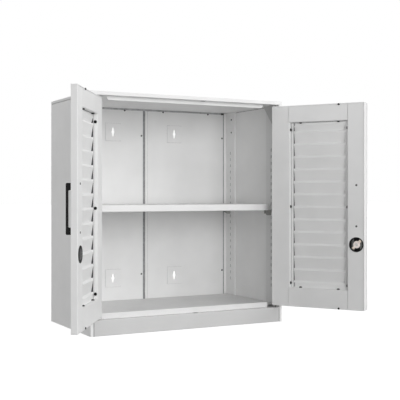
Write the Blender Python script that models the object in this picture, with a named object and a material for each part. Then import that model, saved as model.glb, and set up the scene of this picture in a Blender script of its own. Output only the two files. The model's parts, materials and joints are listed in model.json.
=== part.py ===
"""Sheet steel wall cabinet with two louvred doors, one shelf and a three-point rod lock.

The cabinet is drawn in metres with +Z up. Every piece hangs from one empty, so that the world's
origin is the middle of the cabinet's back: +X is to the right and +Y runs into the wall.
Within that empty x = 0 is the cabinet's middle, y = 0 its front and z = 0 its underside.
A side is -1 for the left and +1 for the right, and a distance called inward is measured from
that side's outer face. The doors are drawn closed, in those same distances, and then turned.
"""

import math

import bmesh
import bpy
from mathutils import Matrix, Vector

# Overall size
WIDTH = 0.740
DEPTH = 0.400
HEIGHT = 0.800

# Folded sheet
SHEET = 0.001
BEND = 0.0006
BEND_STEPS = 2
SEAT = 0.0003
LONG_CUT = 0.003

# Front frame: the side panels' front posts, the plinth and the top's fascia
POST_FACE = 0.0115
FRAME_DEPTH = 0.024
POST_FLANGE = 0.0085
SIDE_REAR_RETURN = 0.014
SIDE_TOP_FLANGE = 0.016
PLINTH_HEIGHT = 0.052
PLINTH_RETURN = 0.018
FASCIA_HEIGHT = 0.0125
TOP_SKIRT = 0.0096

# Ceiling, floor and their stop rails
STOP_DROP = 0.0125
STOP_CUT_BACK = 0.066
STOP_CHAMFER = 0.006
FLOOR_RISE = 0.0095
FLOOR_FLANGE = 0.0165
LIP_HEIGHT = 0.009
LIP_CUT_BACK = 0.047
HEM_RADIUS = 0.0002
REAR_BRACE_RETURN = 0.014

# Back
BACK_INSET = 0.004
BACK_BOTTOM = 0.001
SEAM_GROOVE = 0.009
JOINT_STRIP_WIDTH = 0.026

# Hanging keyholes and their plates
KEYHOLE_ACROSS = 0.129
KEYHOLE_FROM_TOP = 0.1025
KEYHOLE_FROM_BOTTOM = 0.146
KEYHOLE_DIAMETER = 0.013
KEYHOLE_SLOT = 0.007
KEYHOLE_LENGTH = 0.033
PLATE_WIDTH = 0.060
PLATE_HEIGHT = 0.066
PLATE_CORNER = 0.003

# Slotted uprights
UPRIGHT_STAND_OFF = 0.007
UPRIGHT_FRONT_INSET = 0.026
UPRIGHT_WIDTH = 0.071
UPRIGHT_REAR_WIDTH = 0.069
SLOT_LINE = 0.0355
UPRIGHT_REAR_FLANGE = 0.011
SLOT_PITCH = 0.025
SLOT_COUNT = 21
SLOT_START = 0.1265
SLOT_WIDTH = 0.004
SLOT_HEIGHT = 0.012

# Corner brackets under the ceiling
BRACKET_GAP = 0.0025
BRACKET_THICKNESS = 0.0015
BRACKET_REACH = 0.064
BRACKET_DROP = 0.073
BRACKET_TIP = 0.006

# Shelf and its clips
SHELF_SLOT = 11
SHELF_HEIGHT = 0.0227
SHELF_END_GAP = 0.022
SHELF_FRONT = 0.060
SHELF_REAR_GAP = 0.008
SHELF_RETURN = 0.013
CLIP_SHEET = 0.0015
CLIP_REACH = 0.0227
CLIP_HEIGHT = 0.018
CLIP_DEPTH = 0.012
CLIP_REAR_LEG = 0.012
CLIP_CORNER = 0.008
HOOK_HEIGHT = 0.0062
TOOTH_WIDTH = 0.0014
TOOTH_DROP = 0.0063

# Doors
DOOR_OPEN = math.radians(123.0)
DOOR_THICKNESS = 0.0215
DOOR_HINGE_EDGE = 0.016
DOOR_TOP_GAP = 0.0074
DOOR_BOTTOM_GAP = 0.0094
LEFT_PAST_CENTRE = 0.0015
MEETING_GAP = 0.0055
REBATE_WIDTH = 0.008
REBATE_DEPTH = 0.0015
EDGE_LIP = 0.003
SKIN_RETURN = 0.0034
COVER_RECESS = 0.0013
COVER_FORWARD = 0.003
REVEAL_DEPTH = 0.0113
STILE_WIDTH = 0.0685
RAIL_START = 0.063
RAIL_JOINT = 0.001
LOCK_STILE_FROM_CENTRE = 0.0685
TOP_RAIL_HEIGHT = 0.0596
BOTTOM_RAIL_HEIGHT = 0.0669

# Louvred panels
PANEL_FRONT = 0.0077
PANEL_RIM = 0.011
PANEL_WALL_BACK = 0.018
LOUVRE_FRONT = 0.0012
LOUVRE_PROUD = 0.0002
LOUVRE_COUNT = 13
LOUVRE_FIRST = 0.0345
LOUVRE_LAST = 0.0213
LOUVRE_BAND = 0.007

# Hinges
PIVOT_INWARD = 0.0235
PIVOT_DEPTH = 0.0052
PIN_RADIUS = 0.0025
PIN_CLEARANCE = 0.0003
PIN_HEAD_RADIUS = 0.0038
PIN_HEAD_HEIGHT = 0.002
PIN_LENGTH_IN_DOOR = 0.010
BUSH_RADIUS = 0.0037
BUSH_LENGTH = 0.012
BUSH_FLANGE_RADIUS = 0.005
BUSH_FLANGE = 0.001
ROUND_STEPS = 12

# Handles
HANDLE_LENGTH = 0.151
HANDLE_WIDTH = 0.009
HANDLE_BAR = 0.006
HANDLE_FOOT = 0.021
HANDLE_PROJECTION = 0.021
HANDLE_CORNER = 0.0035
HANDLE_FROM_CENTRE = 0.0365

# Bumpers
BUMPER_FROM_CENTRE = 0.100
BUMPER_RADIUS = 0.0035

# Lock, seen through the round hole in the right door's inner stile
LOCK_HEIGHT = 0.289
LOCK_HOLE_RADIUS = 0.025
BEZEL_RADIUS = 0.0257
BEZEL_OPENING_RADIUS = 0.022
BEZEL_FLANGE = 0.0012
BEZEL_BARREL = 0.001
CAP_RECESS = 0.0006
BIG_ROUND_STEPS = 32
HOUSING_STEPS = 24
HOUSING_RADIUS = 0.0105
HOUSING_FLANGE_RADIUS = 0.016
HOUSING_FLANGE = 0.003
PLUG_RADIUS = 0.0067
PLUG_NECK_RADIUS = 0.004
KEY_SLOT_WIDTH = 0.0016
KEY_SLOT_HEIGHT = 0.008
KEY_SLOT_DEPTH = 0.004
CAM_DEPTH = 0.015
CAM_THICKNESS = 0.002
CAM_HUB_RADIUS = 0.010
CAM_ARM_WIDTH = 0.009
CAM_PIN_AT = 0.018
CAM_PIN_RADIUS = 0.002
NUT_RADIUS = 0.0075
NUT_HEIGHT = 0.0028
CAM_TURN = math.radians(90)

# Lock rods
ROD_WIDTH = 0.008
ROD_THICKNESS = 0.003
ROD_DEPTH = 0.0115
ROD_END_GAP = 0.002
ROD_INTO_PLINTH = 0.012
ROD_SLACK = 0.0006
FOOT_SLOT_MARGIN = 0.00075
FOOT_RIM = 0.0025
STRIKE_MARGIN = 0.002

# Levels that follow from those sizes
LEDGE_UNDER = HEIGHT - FASCIA_HEIGHT
CEILING_UNDER = LEDGE_UNDER + SHEET
SIDE_TOP = CEILING_UNDER - SEAT
FLOOR_TOP = PLINTH_HEIGHT + FLOOR_RISE
BACK_FACE = DEPTH - BACK_INSET
INNER_WALL = SHEET + SEAT
UPRIGHT_BOTTOM = FLOOR_TOP + SEAT
UPRIGHT_TOP = SIDE_TOP - SHEET - SEAT
REAR_LINE = BACK_FACE - 2 * SEAT
REAR_UPRIGHT_START = BACK_FACE - SEAT - UPRIGHT_REAR_WIDTH
FRONT_SLOT_LINE = UPRIGHT_FRONT_INSET + SLOT_LINE
REAR_SLOT_LINE = REAR_UPRIGHT_START + SLOT_LINE
SHELF_SLOT_CENTRE = SLOT_START + SHELF_SLOT * SLOT_PITCH
CLIP_TOP = SHELF_SLOT_CENTRE + CLIP_SHEET
DOOR_BOTTOM = PLINTH_HEIGHT + DOOR_BOTTOM_GAP
DOOR_TOP = LEDGE_UNDER - DOOR_TOP_GAP
COVER_BACK = DOOR_THICKNESS - COVER_RECESS
WINDOW_HINGE = DOOR_HINGE_EDGE + STILE_WIDTH
WINDOW_FREE = WIDTH / 2 - LOCK_STILE_FROM_CENTRE
WINDOW_TOP = DOOR_TOP - TOP_RAIL_HEIGHT
WINDOW_BOTTOM = DOOR_BOTTOM + BOTTOM_RAIL_HEIGHT
LOCK_INWARD = WIDTH / 2 - HANDLE_FROM_CENTRE
BUMPER_INWARD = WIDTH / 2 - BUMPER_FROM_CENTRE
ROD_FROM_LOCK = CAM_PIN_AT * (1 + math.cos(CAM_TURN / 2)) / 2
UPPER_ROD_INWARD = LOCK_INWARD - ROD_FROM_LOCK
LOWER_ROD_INWARD = LOCK_INWARD + ROD_FROM_LOCK
ROD_TRAVEL = 2 * CAM_PIN_AT * math.sin(CAM_TURN / 2)
LEFT, RIGHT = -1, 1
SIDE_NAMES = {LEFT: "left", RIGHT: "right"}


def clear_scene():
    for item in list(bpy.data.objects):
        bpy.data.objects.remove(item, do_unlink=True)


def look(name, colour, roughness, metallic):
    made = bpy.data.materials.new(name)
    made.use_nodes = True
    shader = made.node_tree.nodes["Principled BSDF"]
    shader.inputs["Base Color"].default_value = (*colour, 1.0)
    shader.inputs["Roughness"].default_value = roughness
    shader.inputs["Metallic"].default_value = metallic
    return made


def make_looks():
    return {
        "paint": look("grey_powder_coat", (0.74, 0.74, 0.73), 0.45, 0.0),
        "black": look("black_plastic", (0.018, 0.018, 0.018), 0.35, 0.0),
        "zinc": look("zinc_plated_steel", (0.62, 0.61, 0.58), 0.35, 1.0),
        "dark": look("dark_spring_steel", (0.16, 0.16, 0.16), 0.5, 0.6),
    }


# Outlines


def turn_at(before, corner, after):
    """The angle by which a path turns at a corner, positive to the left."""
    arriving = corner - before
    leaving = after - corner
    return math.atan2(arriving.x * leaving.y - arriving.y * leaving.x, arriving.dot(leaving))


def corner_arc(before, corner, after, radius, steps=BEND_STEPS):
    """The arc that rounds a path's corner, as points and the arc's centre."""
    turn = turn_at(before, corner, after)
    arriving = (corner - before).normalized()
    start = corner - arriving * radius * math.tan(abs(turn) / 2)
    sideways = Vector((-arriving.y, arriving.x)) * math.copysign(radius, turn)
    centre = start + sideways
    points = []
    for step in range(steps + 1):
        points.append(centre - Matrix.Rotation(turn * step / steps, 2) @ sideways)
    return points, centre


def left_of(start, end, distance):
    """The step of that distance to the left of the way from start to end."""
    ahead = (end - start).normalized()
    return Vector((-ahead.y, ahead.x)) * distance


def folded(path, thickness=SHEET):
    """The cross-section of a folded sheet. The path is one face, and the sheet lies on its left.

    A path's point may carry the inside radius of its own fold.
    """
    spots = [Vector(spot[:2]) for spot in path]
    face = [spots[0]]
    back = [spots[0] + left_of(spots[0], spots[1], thickness)]
    for index in range(1, len(spots) - 1):
        before, corner, after = spots[index - 1 : index + 2]
        inside = path[index][2] if len(path[index]) > 2 else BEND
        outside = inside + thickness
        face_radius, back_radius = outside, inside
        if turn_at(before, corner, after) < 0:
            face_radius, back_radius = inside, outside
        points, centre = corner_arc(before, corner, after, face_radius)
        face += points
        back += [centre + (point - centre) * back_radius / face_radius for point in points]
    face.append(spots[-1])
    back.append(spots[-1] + left_of(spots[-2], spots[-1], thickness))
    return without_repeats(face + back[::-1])


def without_repeats(outline):
    """The outline without the second of two points at one place, as where two folds meet."""
    kept = []
    for spot in outline:
        if not kept or (spot - kept[-1]).length > 1e-6:
            kept.append(spot)
    return kept


def rounded(corners, steps=BEND_STEPS):
    """A closed outline whose corners (x, y, radius) are rounded off."""
    outline = []
    for index, corner in enumerate(corners):
        before = Vector(corners[index - 1][:2])
        here = Vector(corner[:2])
        after = Vector(corners[(index + 1) % len(corners)][:2])
        if corner[2] > 0:
            outline += corner_arc(before, here, after, corner[2], steps)[0]
        else:
            outline.append(here)
    return outline


def arc_points(centre, radius, first, last, steps):
    points = []
    for step in range(steps + 1):
        angle = first + (last - first) * step / steps
        points.append((centre[0] + radius * math.cos(angle), centre[1] + radius * math.sin(angle)))
    return points


def circle(centre, radius, steps=ROUND_STEPS):
    return arc_points(centre, radius, 0, 2 * math.pi, steps)[:-1]


def rectangle(across, up):
    return [(across[0], up[0]), (across[1], up[0]), (across[1], up[1]), (across[0], up[1])]


# Solids


def as_mesh(shape):
    bmesh.ops.recalc_face_normals(shape, faces=shape.faces)
    mesh = bpy.data.meshes.new("solid")
    shape.to_mesh(mesh)
    shape.free()
    return mesh


def on_axis(axis, along, across, up):
    """A point from its distance along an axis and its two distances in the outline's plane."""
    return {
        "X": Vector((along, across, up)),
        "Y": Vector((across, along, up)),
        "Z": Vector((across, up, along)),
    }[axis]


def prism(outline, axis, start, end, flip=1):
    """The outline carried along the axis. A flip of -1 mirrors it from left to right."""
    shape = bmesh.new()
    corners = [shape.verts.new(on_axis(axis, start, *spot)) for spot in outline]
    base = shape.faces.new(corners)
    grown = bmesh.ops.extrude_face_region(shape, geom=[base])["geom"]
    moved = [item for item in grown if isinstance(item, bmesh.types.BMVert)]
    bmesh.ops.translate(shape, verts=moved, vec=on_axis(axis, end - start, 0, 0))
    bmesh.ops.scale(shape, verts=shape.verts, vec=(flip, 1, 1))
    return as_mesh(shape)


def block(x, y, z, flip=1):
    return prism(rectangle(x, y), "Z", *z, flip)


def rounded_block(x, y, z, radius, flip=1):
    """A block whose edges are all rounded, as the folds of a pressed tray are."""
    shape = bmesh.new()
    shape.from_mesh(block(x, y, z, flip))
    bmesh.ops.bevel(
        shape,
        geom=list(shape.edges),
        offset=radius,
        segments=BEND_STEPS,
        profile=0.5,
        affect="EDGES",
    )
    return as_mesh(shape)


def turned(profile, axis, steps=ROUND_STEPS, closed=False):
    """A profile of (radius, distance along the axis), spun round the axis.

    A closed profile makes a ring. Another starts and ends on the axis.
    """
    shape = bmesh.new()
    spots = [shape.verts.new(on_axis(axis, along, radius, 0)) for radius, along in profile]
    edges = [shape.edges.new(pair) for pair in zip(spots, spots[1:])]
    if closed:
        edges.append(shape.edges.new((spots[-1], spots[0])))
    bmesh.ops.spin(
        shape,
        geom=spots + edges,
        cent=(0, 0, 0),
        axis=on_axis(axis, 1, 0, 0),
        dvec=(0, 0, 0),
        angle=2 * math.pi,
        steps=steps,
        use_merge=True,
    )
    bmesh.ops.remove_doubles(shape, verts=shape.verts, dist=1e-6)
    mesh = as_mesh(shape)
    mesh.shade_smooth()
    mesh.set_sharp_from_angle(angle=math.radians(35))
    return mesh


def together(meshes):
    """Several separate solids as one mesh, to cut with."""
    shape = bmesh.new()
    for mesh in meshes:
        shape.from_mesh(mesh)
    return as_mesh(shape)


# Objects


def add_empty(name, parent, place, turn=0.0):
    empty = bpy.data.objects.new(name, None)
    bpy.context.scene.collection.objects.link(empty)
    empty.parent = parent
    empty.location = place
    empty.rotation_euler = (0, 0, turn)
    empty.empty_display_size = 0.05
    return empty


def add_piece(name, mesh, material, parent, place=(0, 0, 0)):
    piece = bpy.data.objects.new(name, mesh)
    bpy.context.scene.collection.objects.link(piece)
    piece.parent = parent
    piece.location = place
    if not mesh.materials:
        mesh.materials.append(material)
    return piece


def combine(piece, operation, mesh):
    """Joins a solid to the piece, or cuts it out, with a Boolean modifier."""
    helper = bpy.data.objects.new(piece.name + "_" + operation.lower(), mesh)
    bpy.context.scene.collection.objects.link(helper)
    helper.parent = piece
    helper.hide_render = True
    helper.display_type = "WIRE"
    step = piece.modifiers.new(operation.title(), "BOOLEAN")
    step.operation = operation
    step.solver = "EXACT"
    step.object = helper


def cut(piece, *meshes):
    combine(piece, "DIFFERENCE", together(meshes))


def join(piece, mesh):
    combine(piece, "UNION", mesh)


# Carcass


def add_side_panel(side, cabinet, looks):
    """The side, folded into a post at the front and a return at the rear, with a flange on top."""
    post_end = POST_FACE + POST_FLANGE
    path = [
        (SIDE_REAR_RETURN, DEPTH),
        (0, DEPTH),
        (0, 0),
        (POST_FACE, 0),
        (POST_FACE, FRAME_DEPTH),
        (post_end, FRAME_DEPTH),
    ]
    sheet = prism(folded(path), "Z", 0, SIDE_TOP, -side)
    name = SIDE_NAMES[side] + "_side_panel"
    panel = add_piece(name, sheet, looks["paint"], cabinet, (side * WIDTH / 2, 0, 0))
    behind_post = FRAME_DEPTH + 2 * SHEET
    over_post = block(
        (-LONG_CUT, post_end + LONG_CUT),
        (-LONG_CUT, behind_post),
        (LEDGE_UNDER - SEAT, SIDE_TOP + LONG_CUT),
        -side,
    )
    cut(panel, over_post)
    flange = block(
        (SHEET / 2, SIDE_TOP_FLANGE),
        (behind_post, REAR_LINE),
        (SIDE_TOP - SHEET, SIDE_TOP),
        -side,
    )
    join(panel, flange)


def pin_hole(side, level):
    """A hinge pin's hole in the top's ledge or the plinth's."""
    centre = (WIDTH / 2 - PIVOT_INWARD, PIVOT_DEPTH)
    outline = circle(centre, PIN_RADIUS + PIN_CLEARANCE)
    return prism(outline, "Z", level - LONG_CUT, level + LONG_CUT, side)


def strike_slot(rod_inward, level):
    """The slot that a lock rod of the right door enters."""
    across = WIDTH / 2 - rod_inward
    half_width = ROD_WIDTH / 2 + STRIKE_MARGIN
    y = (ROD_DEPTH - STRIKE_MARGIN, ROD_DEPTH + ROD_THICKNESS + STRIKE_MARGIN)
    x = (across - half_width, across + half_width)
    return block(x, y, (level - LONG_CUT, level + LONG_CUT))


def add_top_panel(cabinet, looks):
    """A tray turned down all round. Its fascia returns as the ledge that holds the hinge pins."""
    half = WIDTH / 2
    outer = rounded_block((-half, half), (0, DEPTH), (LEDGE_UNDER, HEIGHT), BEND + SHEET)
    top = add_piece("top_panel", outer, looks["paint"], cabinet)
    inner_x = (SHEET - half, half - SHEET)
    inner_z = (CEILING_UNDER, HEIGHT - SHEET)
    cut(top, rounded_block(inner_x, (SHEET, DEPTH - SHEET), inner_z, BEND))
    behind_ledge = block(
        (-half - LONG_CUT, half + LONG_CUT),
        (FRAME_DEPTH - SEAT, DEPTH + LONG_CUT),
        (LEDGE_UNDER - LONG_CUT, HEIGHT - TOP_SKIRT),
    )
    cut(top, behind_ledge)
    level = LEDGE_UNDER + SHEET / 2
    upper_strike = strike_slot(UPPER_ROD_INWARD, level)
    cut(top, pin_hole(LEFT, level), pin_hole(RIGHT, level), upper_strike)


def add_ceiling_panel(cabinet, looks):
    """The ceiling, with the doors' upper stop rail in front and an upstand behind the back."""
    half = WIDTH / 2
    surface = CEILING_UNDER + SHEET
    rail_bottom = LEDGE_UNDER - STOP_DROP
    rear = REAR_LINE - SHEET
    path = [
        (rear, HEIGHT - 2 * SHEET),
        (rear, surface),
        (FRAME_DEPTH, surface),
        (FRAME_DEPTH, rail_bottom),
    ]
    edge = half - INNER_WALL
    sheet = prism(folded(path), "X", -edge, edge)
    ceiling = add_piece("ceiling_panel", sheet, looks["paint"], cabinet)
    rail_end = half - STOP_CUT_BACK
    corner_cut = [
        (rail_end, CEILING_UNDER),
        (rail_end, rail_bottom + STOP_CHAMFER),
        (rail_end - STOP_CHAMFER, rail_bottom),
        (rail_end - STOP_CHAMFER, rail_bottom - LONG_CUT),
        (half, rail_bottom - LONG_CUT),
        (half, CEILING_UNDER),
    ]
    y = (FRAME_DEPTH - LONG_CUT, FRAME_DEPTH + SHEET + BEND + SEAT)
    cut(ceiling, prism(corner_cut, "Y", *y, LEFT), prism(corner_cut, "Y", *y, RIGHT))


def add_floor_panel(cabinet, looks):
    """The floor, turned down at the sides and rear. Its hemmed front lip stops the doors."""
    edge = WIDTH / 2 - INNER_WALL
    hem = FRAME_DEPTH + 2 * (SHEET + HEM_RADIUS)
    lip_top = FLOOR_TOP + LIP_HEIGHT
    path = [
        (REAR_LINE, FLOOR_TOP - FLOOR_FLANGE),
        (REAR_LINE, FLOOR_TOP),
        (hem, FLOOR_TOP),
        (hem, lip_top, HEM_RADIUS),
        (FRAME_DEPTH, lip_top, HEM_RADIUS),
        (FRAME_DEPTH, PLINTH_HEIGHT + SEAT),
    ]
    sheet = prism(folded(path), "X", -edge, edge)
    floor = add_piece("floor_panel", sheet, looks["paint"], cabinet)
    flange_front = hem + 2 * LONG_CUT
    flange_rear = REAR_LINE - SHEET - BEND
    flange_z = (FLOOR_TOP - FLOOR_FLANGE, FLOOR_TOP - SHEET / 2)
    for side in (LEFT, RIGHT):
        join(floor, block((edge - SHEET, edge), (flange_front, flange_rear), flange_z, side))
    lip_x = (WIDTH / 2 - LIP_CUT_BACK, WIDTH / 2)
    lip_y = (FRAME_DEPTH - LONG_CUT, hem + BEND + SEAT)
    lip_z = (PLINTH_HEIGHT - LONG_CUT, lip_top + LONG_CUT)
    cut(floor, block(lip_x, lip_y, lip_z, LEFT), block(lip_x, lip_y, lip_z, RIGHT))


def add_plinth(cabinet, looks):
    """The front plinth, whose ledge holds the lower hinge pins, and the channel at the rear."""
    half = WIDTH / 2 - POST_FACE - SEAT
    front = [
        (FRAME_DEPTH - SEAT, PLINTH_HEIGHT),
        (0, PLINTH_HEIGHT),
        (0, 0),
        (PLINTH_RETURN, 0),
    ]
    sheet = prism(folded(front), "X", -half, half)
    plinth = add_piece("plinth_front", sheet, looks["paint"], cabinet)
    level = PLINTH_HEIGHT - SHEET / 2
    lower_strike = strike_slot(LOWER_ROD_INWARD, level)
    cut(plinth, pin_hole(LEFT, level), pin_hole(RIGHT, level), lower_strike)

    web = REAR_LINE - SHEET - SEAT
    brace_top = FLOOR_TOP - SHEET - SEAT
    brace_front = web - REAR_BRACE_RETURN
    rear = [(brace_front, 0), (web, 0), (web, brace_top), (brace_front, brace_top)]
    edge = WIDTH / 2 - INNER_WALL - SHEET - SEAT
    add_piece("plinth_back", prism(folded(rear), "X", -edge, edge), looks["paint"], cabinet)


def keyhole_outline():
    """A round hole with a slot above and a slot below, about its own middle."""
    hole = KEYHOLE_DIAMETER / 2
    slot = KEYHOLE_SLOT / 2
    reach = KEYHOLE_LENGTH / 2 - slot
    shoulder = math.asin(slot / hole)
    upright = math.pi / 2
    outline = arc_points((0, reach), slot, 0, math.pi, 6)
    outline += arc_points((0, 0), hole, upright + shoulder, 3 * upright - shoulder, 5)
    outline += arc_points((0, -reach), slot, math.pi, 2 * math.pi, 6)
    outline += arc_points((0, 0), hole, shoulder - upright, upright - shoulder, 5)
    return outline


def keyhole_levels():
    return {"upper": HEIGHT - KEYHOLE_FROM_TOP, "lower": KEYHOLE_FROM_BOTTOM}


def add_back_panel(side, cabinet, looks):
    """Half of the back, folded back along both edges, with its two keyholes."""
    seam = SEAM_GROOVE / 2
    edge = WIDTH / 2 - INNER_WALL
    fold_back = DEPTH - SHEET - SEAT
    path = [(seam, fold_back), (seam, BACK_FACE), (edge, BACK_FACE), (edge, fold_back)]
    sheet = prism(folded(path), "Z", BACK_BOTTOM, HEIGHT - 2 * SHEET, side)
    panel = add_piece(SIDE_NAMES[side] + "_back_panel", sheet, looks["paint"], cabinet)
    holes = []
    for level in keyhole_levels().values():
        outline = [(x + KEYHOLE_ACROSS, z + level) for x, z in keyhole_outline()]
        holes.append(prism(outline, "Y", BACK_FACE - LONG_CUT, DEPTH + LONG_CUT, side))
    cut(panel, *holes)


def add_joint_strip(cabinet, looks):
    """The flat strip behind the seam of the back's two halves."""
    half = JOINT_STRIP_WIDTH / 2
    strip = block((-half, half), (DEPTH - SHEET, DEPTH), (BACK_BOTTOM, SIDE_TOP))
    add_piece("back_joint_strip", strip, looks["paint"], cabinet)


def add_hanging_plates(cabinet, looks):
    """A stiffening plate inside the back at each keyhole."""
    x, z, radius = PLATE_WIDTH / 2, PLATE_HEIGHT / 2, PLATE_CORNER
    corners = [(-x, -z, radius), (x, -z, radius), (x, z, radius), (-x, z, radius)]
    for side in (LEFT, RIGHT):
        for level_name, level in keyhole_levels().items():
            sheet = prism(rounded(corners), "Y", 0, SHEET)
            name = f"{level_name}_{SIDE_NAMES[side]}_hanging_plate"
            place = (side * KEYHOLE_ACROSS, BACK_FACE - SEAT - SHEET, level)
            plate = add_piece(name, sheet, looks["paint"], cabinet, place)
            cut(plate, prism(keyhole_outline(), "Y", -LONG_CUT, LONG_CUT))


def slot_cutters(line, side):
    """The row of slots in an upright's face, which a clip's hook enters."""
    x = (UPRIGHT_STAND_OFF - SHEET - LONG_CUT, UPRIGHT_STAND_OFF + LONG_CUT)
    y = (line - SLOT_WIDTH / 2, line + SLOT_WIDTH / 2)
    slots = []
    for index in range(SLOT_COUNT):
        centre = SLOT_START + index * SLOT_PITCH
        z = (centre - SLOT_HEIGHT / 2, centre + SLOT_HEIGHT / 2)
        slots.append(block(x, y, z, -side))
    return slots


def add_uprights(side, cabinet, looks):
    """A slotted channel behind the post, and another in the rear corner with a flange."""
    face = UPRIGHT_STAND_OFF
    front = UPRIGHT_FRONT_INSET
    front_path = [
        (INNER_WALL, front),
        (face, front),
        (face, front + UPRIGHT_WIDTH),
        (INNER_WALL, front + UPRIGHT_WIDTH),
    ]
    flange = BACK_FACE - SEAT - SHEET
    rear_path = [
        (INNER_WALL, REAR_UPRIGHT_START),
        (face, REAR_UPRIGHT_START),
        (face, flange),
        (face + UPRIGHT_REAR_FLANGE, flange),
    ]
    sections = {"front": (front_path, FRONT_SLOT_LINE), "rear": (rear_path, REAR_SLOT_LINE)}
    for position, (path, line) in sections.items():
        sheet = prism(folded(path), "Z", UPRIGHT_BOTTOM, UPRIGHT_TOP, -side)
        name = f"{position}_{SIDE_NAMES[side]}_upright"
        upright = add_piece(name, sheet, looks["paint"], cabinet, (side * WIDTH / 2, 0, 0))
        cut(upright, *slot_cutters(line, side))


def add_corner_bracket(side, cabinet, looks):
    """A three-cornered plate that braces the post against the ceiling."""
    front = FRAME_DEPTH + SHEET + SEAT
    outline = [
        (front, SIDE_TOP),
        (front, SIDE_TOP - BRACKET_DROP),
        (front + BRACKET_TIP, SIDE_TOP - BRACKET_DROP),
        (front + BRACKET_REACH, SIDE_TOP - BRACKET_TIP),
        (front + BRACKET_REACH, SIDE_TOP),
    ]
    start = SIDE_TOP_FLANGE + BRACKET_GAP
    plate = prism(outline, "X", start, start + BRACKET_THICKNESS, -side)
    name = SIDE_NAMES[side] + "_corner_bracket"
    add_piece(name, plate, looks["paint"], cabinet, (side * WIDTH / 2, 0, 0))


# Shelf


def add_shelf(cabinet, looks):
    """A shallow tray upside down, whose front and rear turn in again under it."""
    half = WIDTH / 2 - SHELF_END_GAP
    rear = DEPTH - SHELF_REAR_GAP
    y = (SHELF_FRONT, rear)
    outer = rounded_block((-half, half), y, (0, SHELF_HEIGHT), BEND + SHEET)
    shelf = add_piece("shelf", outer, looks["paint"], cabinet, (0, 0, CLIP_TOP + SEAT))
    inner_x = (SHEET - half, half - SHEET)
    inner_y = (SHELF_FRONT + SHEET, rear - SHEET)
    cut(shelf, rounded_block(inner_x, inner_y, (SHEET, SHELF_HEIGHT - SHEET), BEND))
    open_y = (SHELF_FRONT + SHELF_RETURN, rear - SHELF_RETURN)
    cut(shelf, block(inner_x, open_y, (-LONG_CUT, LONG_CUT)))


def add_clip(side, position, line, cabinet, looks):
    """A folded clip. Its hook passes through a slot of the upright and its top carries the shelf."""
    half = CLIP_SHEET / 2
    leg = CLIP_DEPTH - half
    path = [
        (leg, CLIP_SHEET - CLIP_REAR_LEG),
        (leg, CLIP_SHEET),
        (-half, CLIP_SHEET),
        (-half, CLIP_SHEET - CLIP_HEIGHT),
    ]
    start = UPRIGHT_STAND_OFF + SEAT
    end = start + CLIP_REACH
    sheet = prism(folded(path, CLIP_SHEET), "X", start, end, -side)
    name = f"{position}_{SIDE_NAMES[side]}_shelf_clip"
    place = (side * WIDTH / 2, line, SHELF_SLOT_CENTRE)
    clip = add_piece(name, sheet, looks["dark"], cabinet, place)

    hook_top = CLIP_SHEET / 3
    hook_bottom = hook_top - HOOK_HEIGHT
    tooth_end = UPRIGHT_STAND_OFF - SHEET - SEAT
    hook = [
        (tooth_end - TOOTH_WIDTH, hook_bottom - TOOTH_DROP),
        (tooth_end, hook_bottom - TOOTH_DROP),
        (tooth_end, hook_bottom),
        (start + CLIP_SHEET, hook_bottom),
        (start + CLIP_SHEET, hook_top),
        (tooth_end - TOOTH_WIDTH, hook_top),
    ]
    join(clip, prism(hook, "Y", -half, half, -side))

    low = CLIP_SHEET - CLIP_HEIGHT
    centre = (end - CLIP_CORNER, low + CLIP_CORNER)
    corner = arc_points(centre, CLIP_CORNER, 0, -math.pi / 2, 5)
    corner += [(centre[0], low - LONG_CUT), (end + LONG_CUT, low - LONG_CUT)]
    corner.append((end + LONG_CUT, centre[1]))
    cut(clip, prism(corner, "Y", -CLIP_SHEET, CLIP_SHEET, -side))


# Hinges


def add_hinge_pins(side, cabinet, looks):
    """A headed pin through each ledge, with a collar that keeps the door off the ledge."""
    door_seat = 2 * SEAT + BUSH_FLANGE
    ends = {
        "upper": (CEILING_UNDER, LEDGE_UNDER, DOOR_TOP, -1),
        "lower": (PLINTH_HEIGHT - SHEET, PLINTH_HEIGHT, DOOR_BOTTOM, 1),
    }
    for level_name, (head_side, collar_side, door_end, into_door) in ends.items():
        head = head_side - into_door * SEAT
        profile = [
            (0, head - into_door * PIN_HEAD_HEIGHT),
            (PIN_HEAD_RADIUS, head - into_door * PIN_HEAD_HEIGHT),
            (PIN_HEAD_RADIUS, head),
            (PIN_RADIUS, head),
            (PIN_RADIUS, collar_side + into_door * SEAT),
            (PIN_HEAD_RADIUS, collar_side + into_door * SEAT),
            (PIN_HEAD_RADIUS, door_end - into_door * door_seat),
            (PIN_RADIUS, door_end - into_door * door_seat),
            (PIN_RADIUS, door_end + into_door * PIN_LENGTH_IN_DOOR),
            (0, door_end + into_door * PIN_LENGTH_IN_DOOR),
        ]
        name = f"{level_name}_{SIDE_NAMES[side]}_hinge_pin"
        place = (side * (WIDTH / 2 - PIVOT_INWARD), PIVOT_DEPTH, 0)
        add_piece(name, turned(profile, "Z"), looks["zinc"], cabinet, place)


def add_hinge_bushes(side, pivot, looks):
    """The flanged bush in each end of the door, which turns on its pin."""
    bore = PIN_RADIUS + PIN_CLEARANCE
    for level_name, door_end, outward in (("upper", DOOR_TOP, 1), ("lower", DOOR_BOTTOM, -1)):
        inner_end = door_end - outward * BUSH_LENGTH
        seat = door_end + outward * SEAT
        outer_end = seat + outward * BUSH_FLANGE
        profile = [
            (bore, inner_end),
            (BUSH_RADIUS, inner_end),
            (BUSH_RADIUS, seat),
            (BUSH_FLANGE_RADIUS, seat),
            (BUSH_FLANGE_RADIUS, outer_end),
            (bore, outer_end),
        ]
        name = f"{level_name}_{SIDE_NAMES[side]}_hinge_bush"
        add_piece(name, turned(profile, "Z", closed=True), looks["zinc"], pivot)


# Doors


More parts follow.
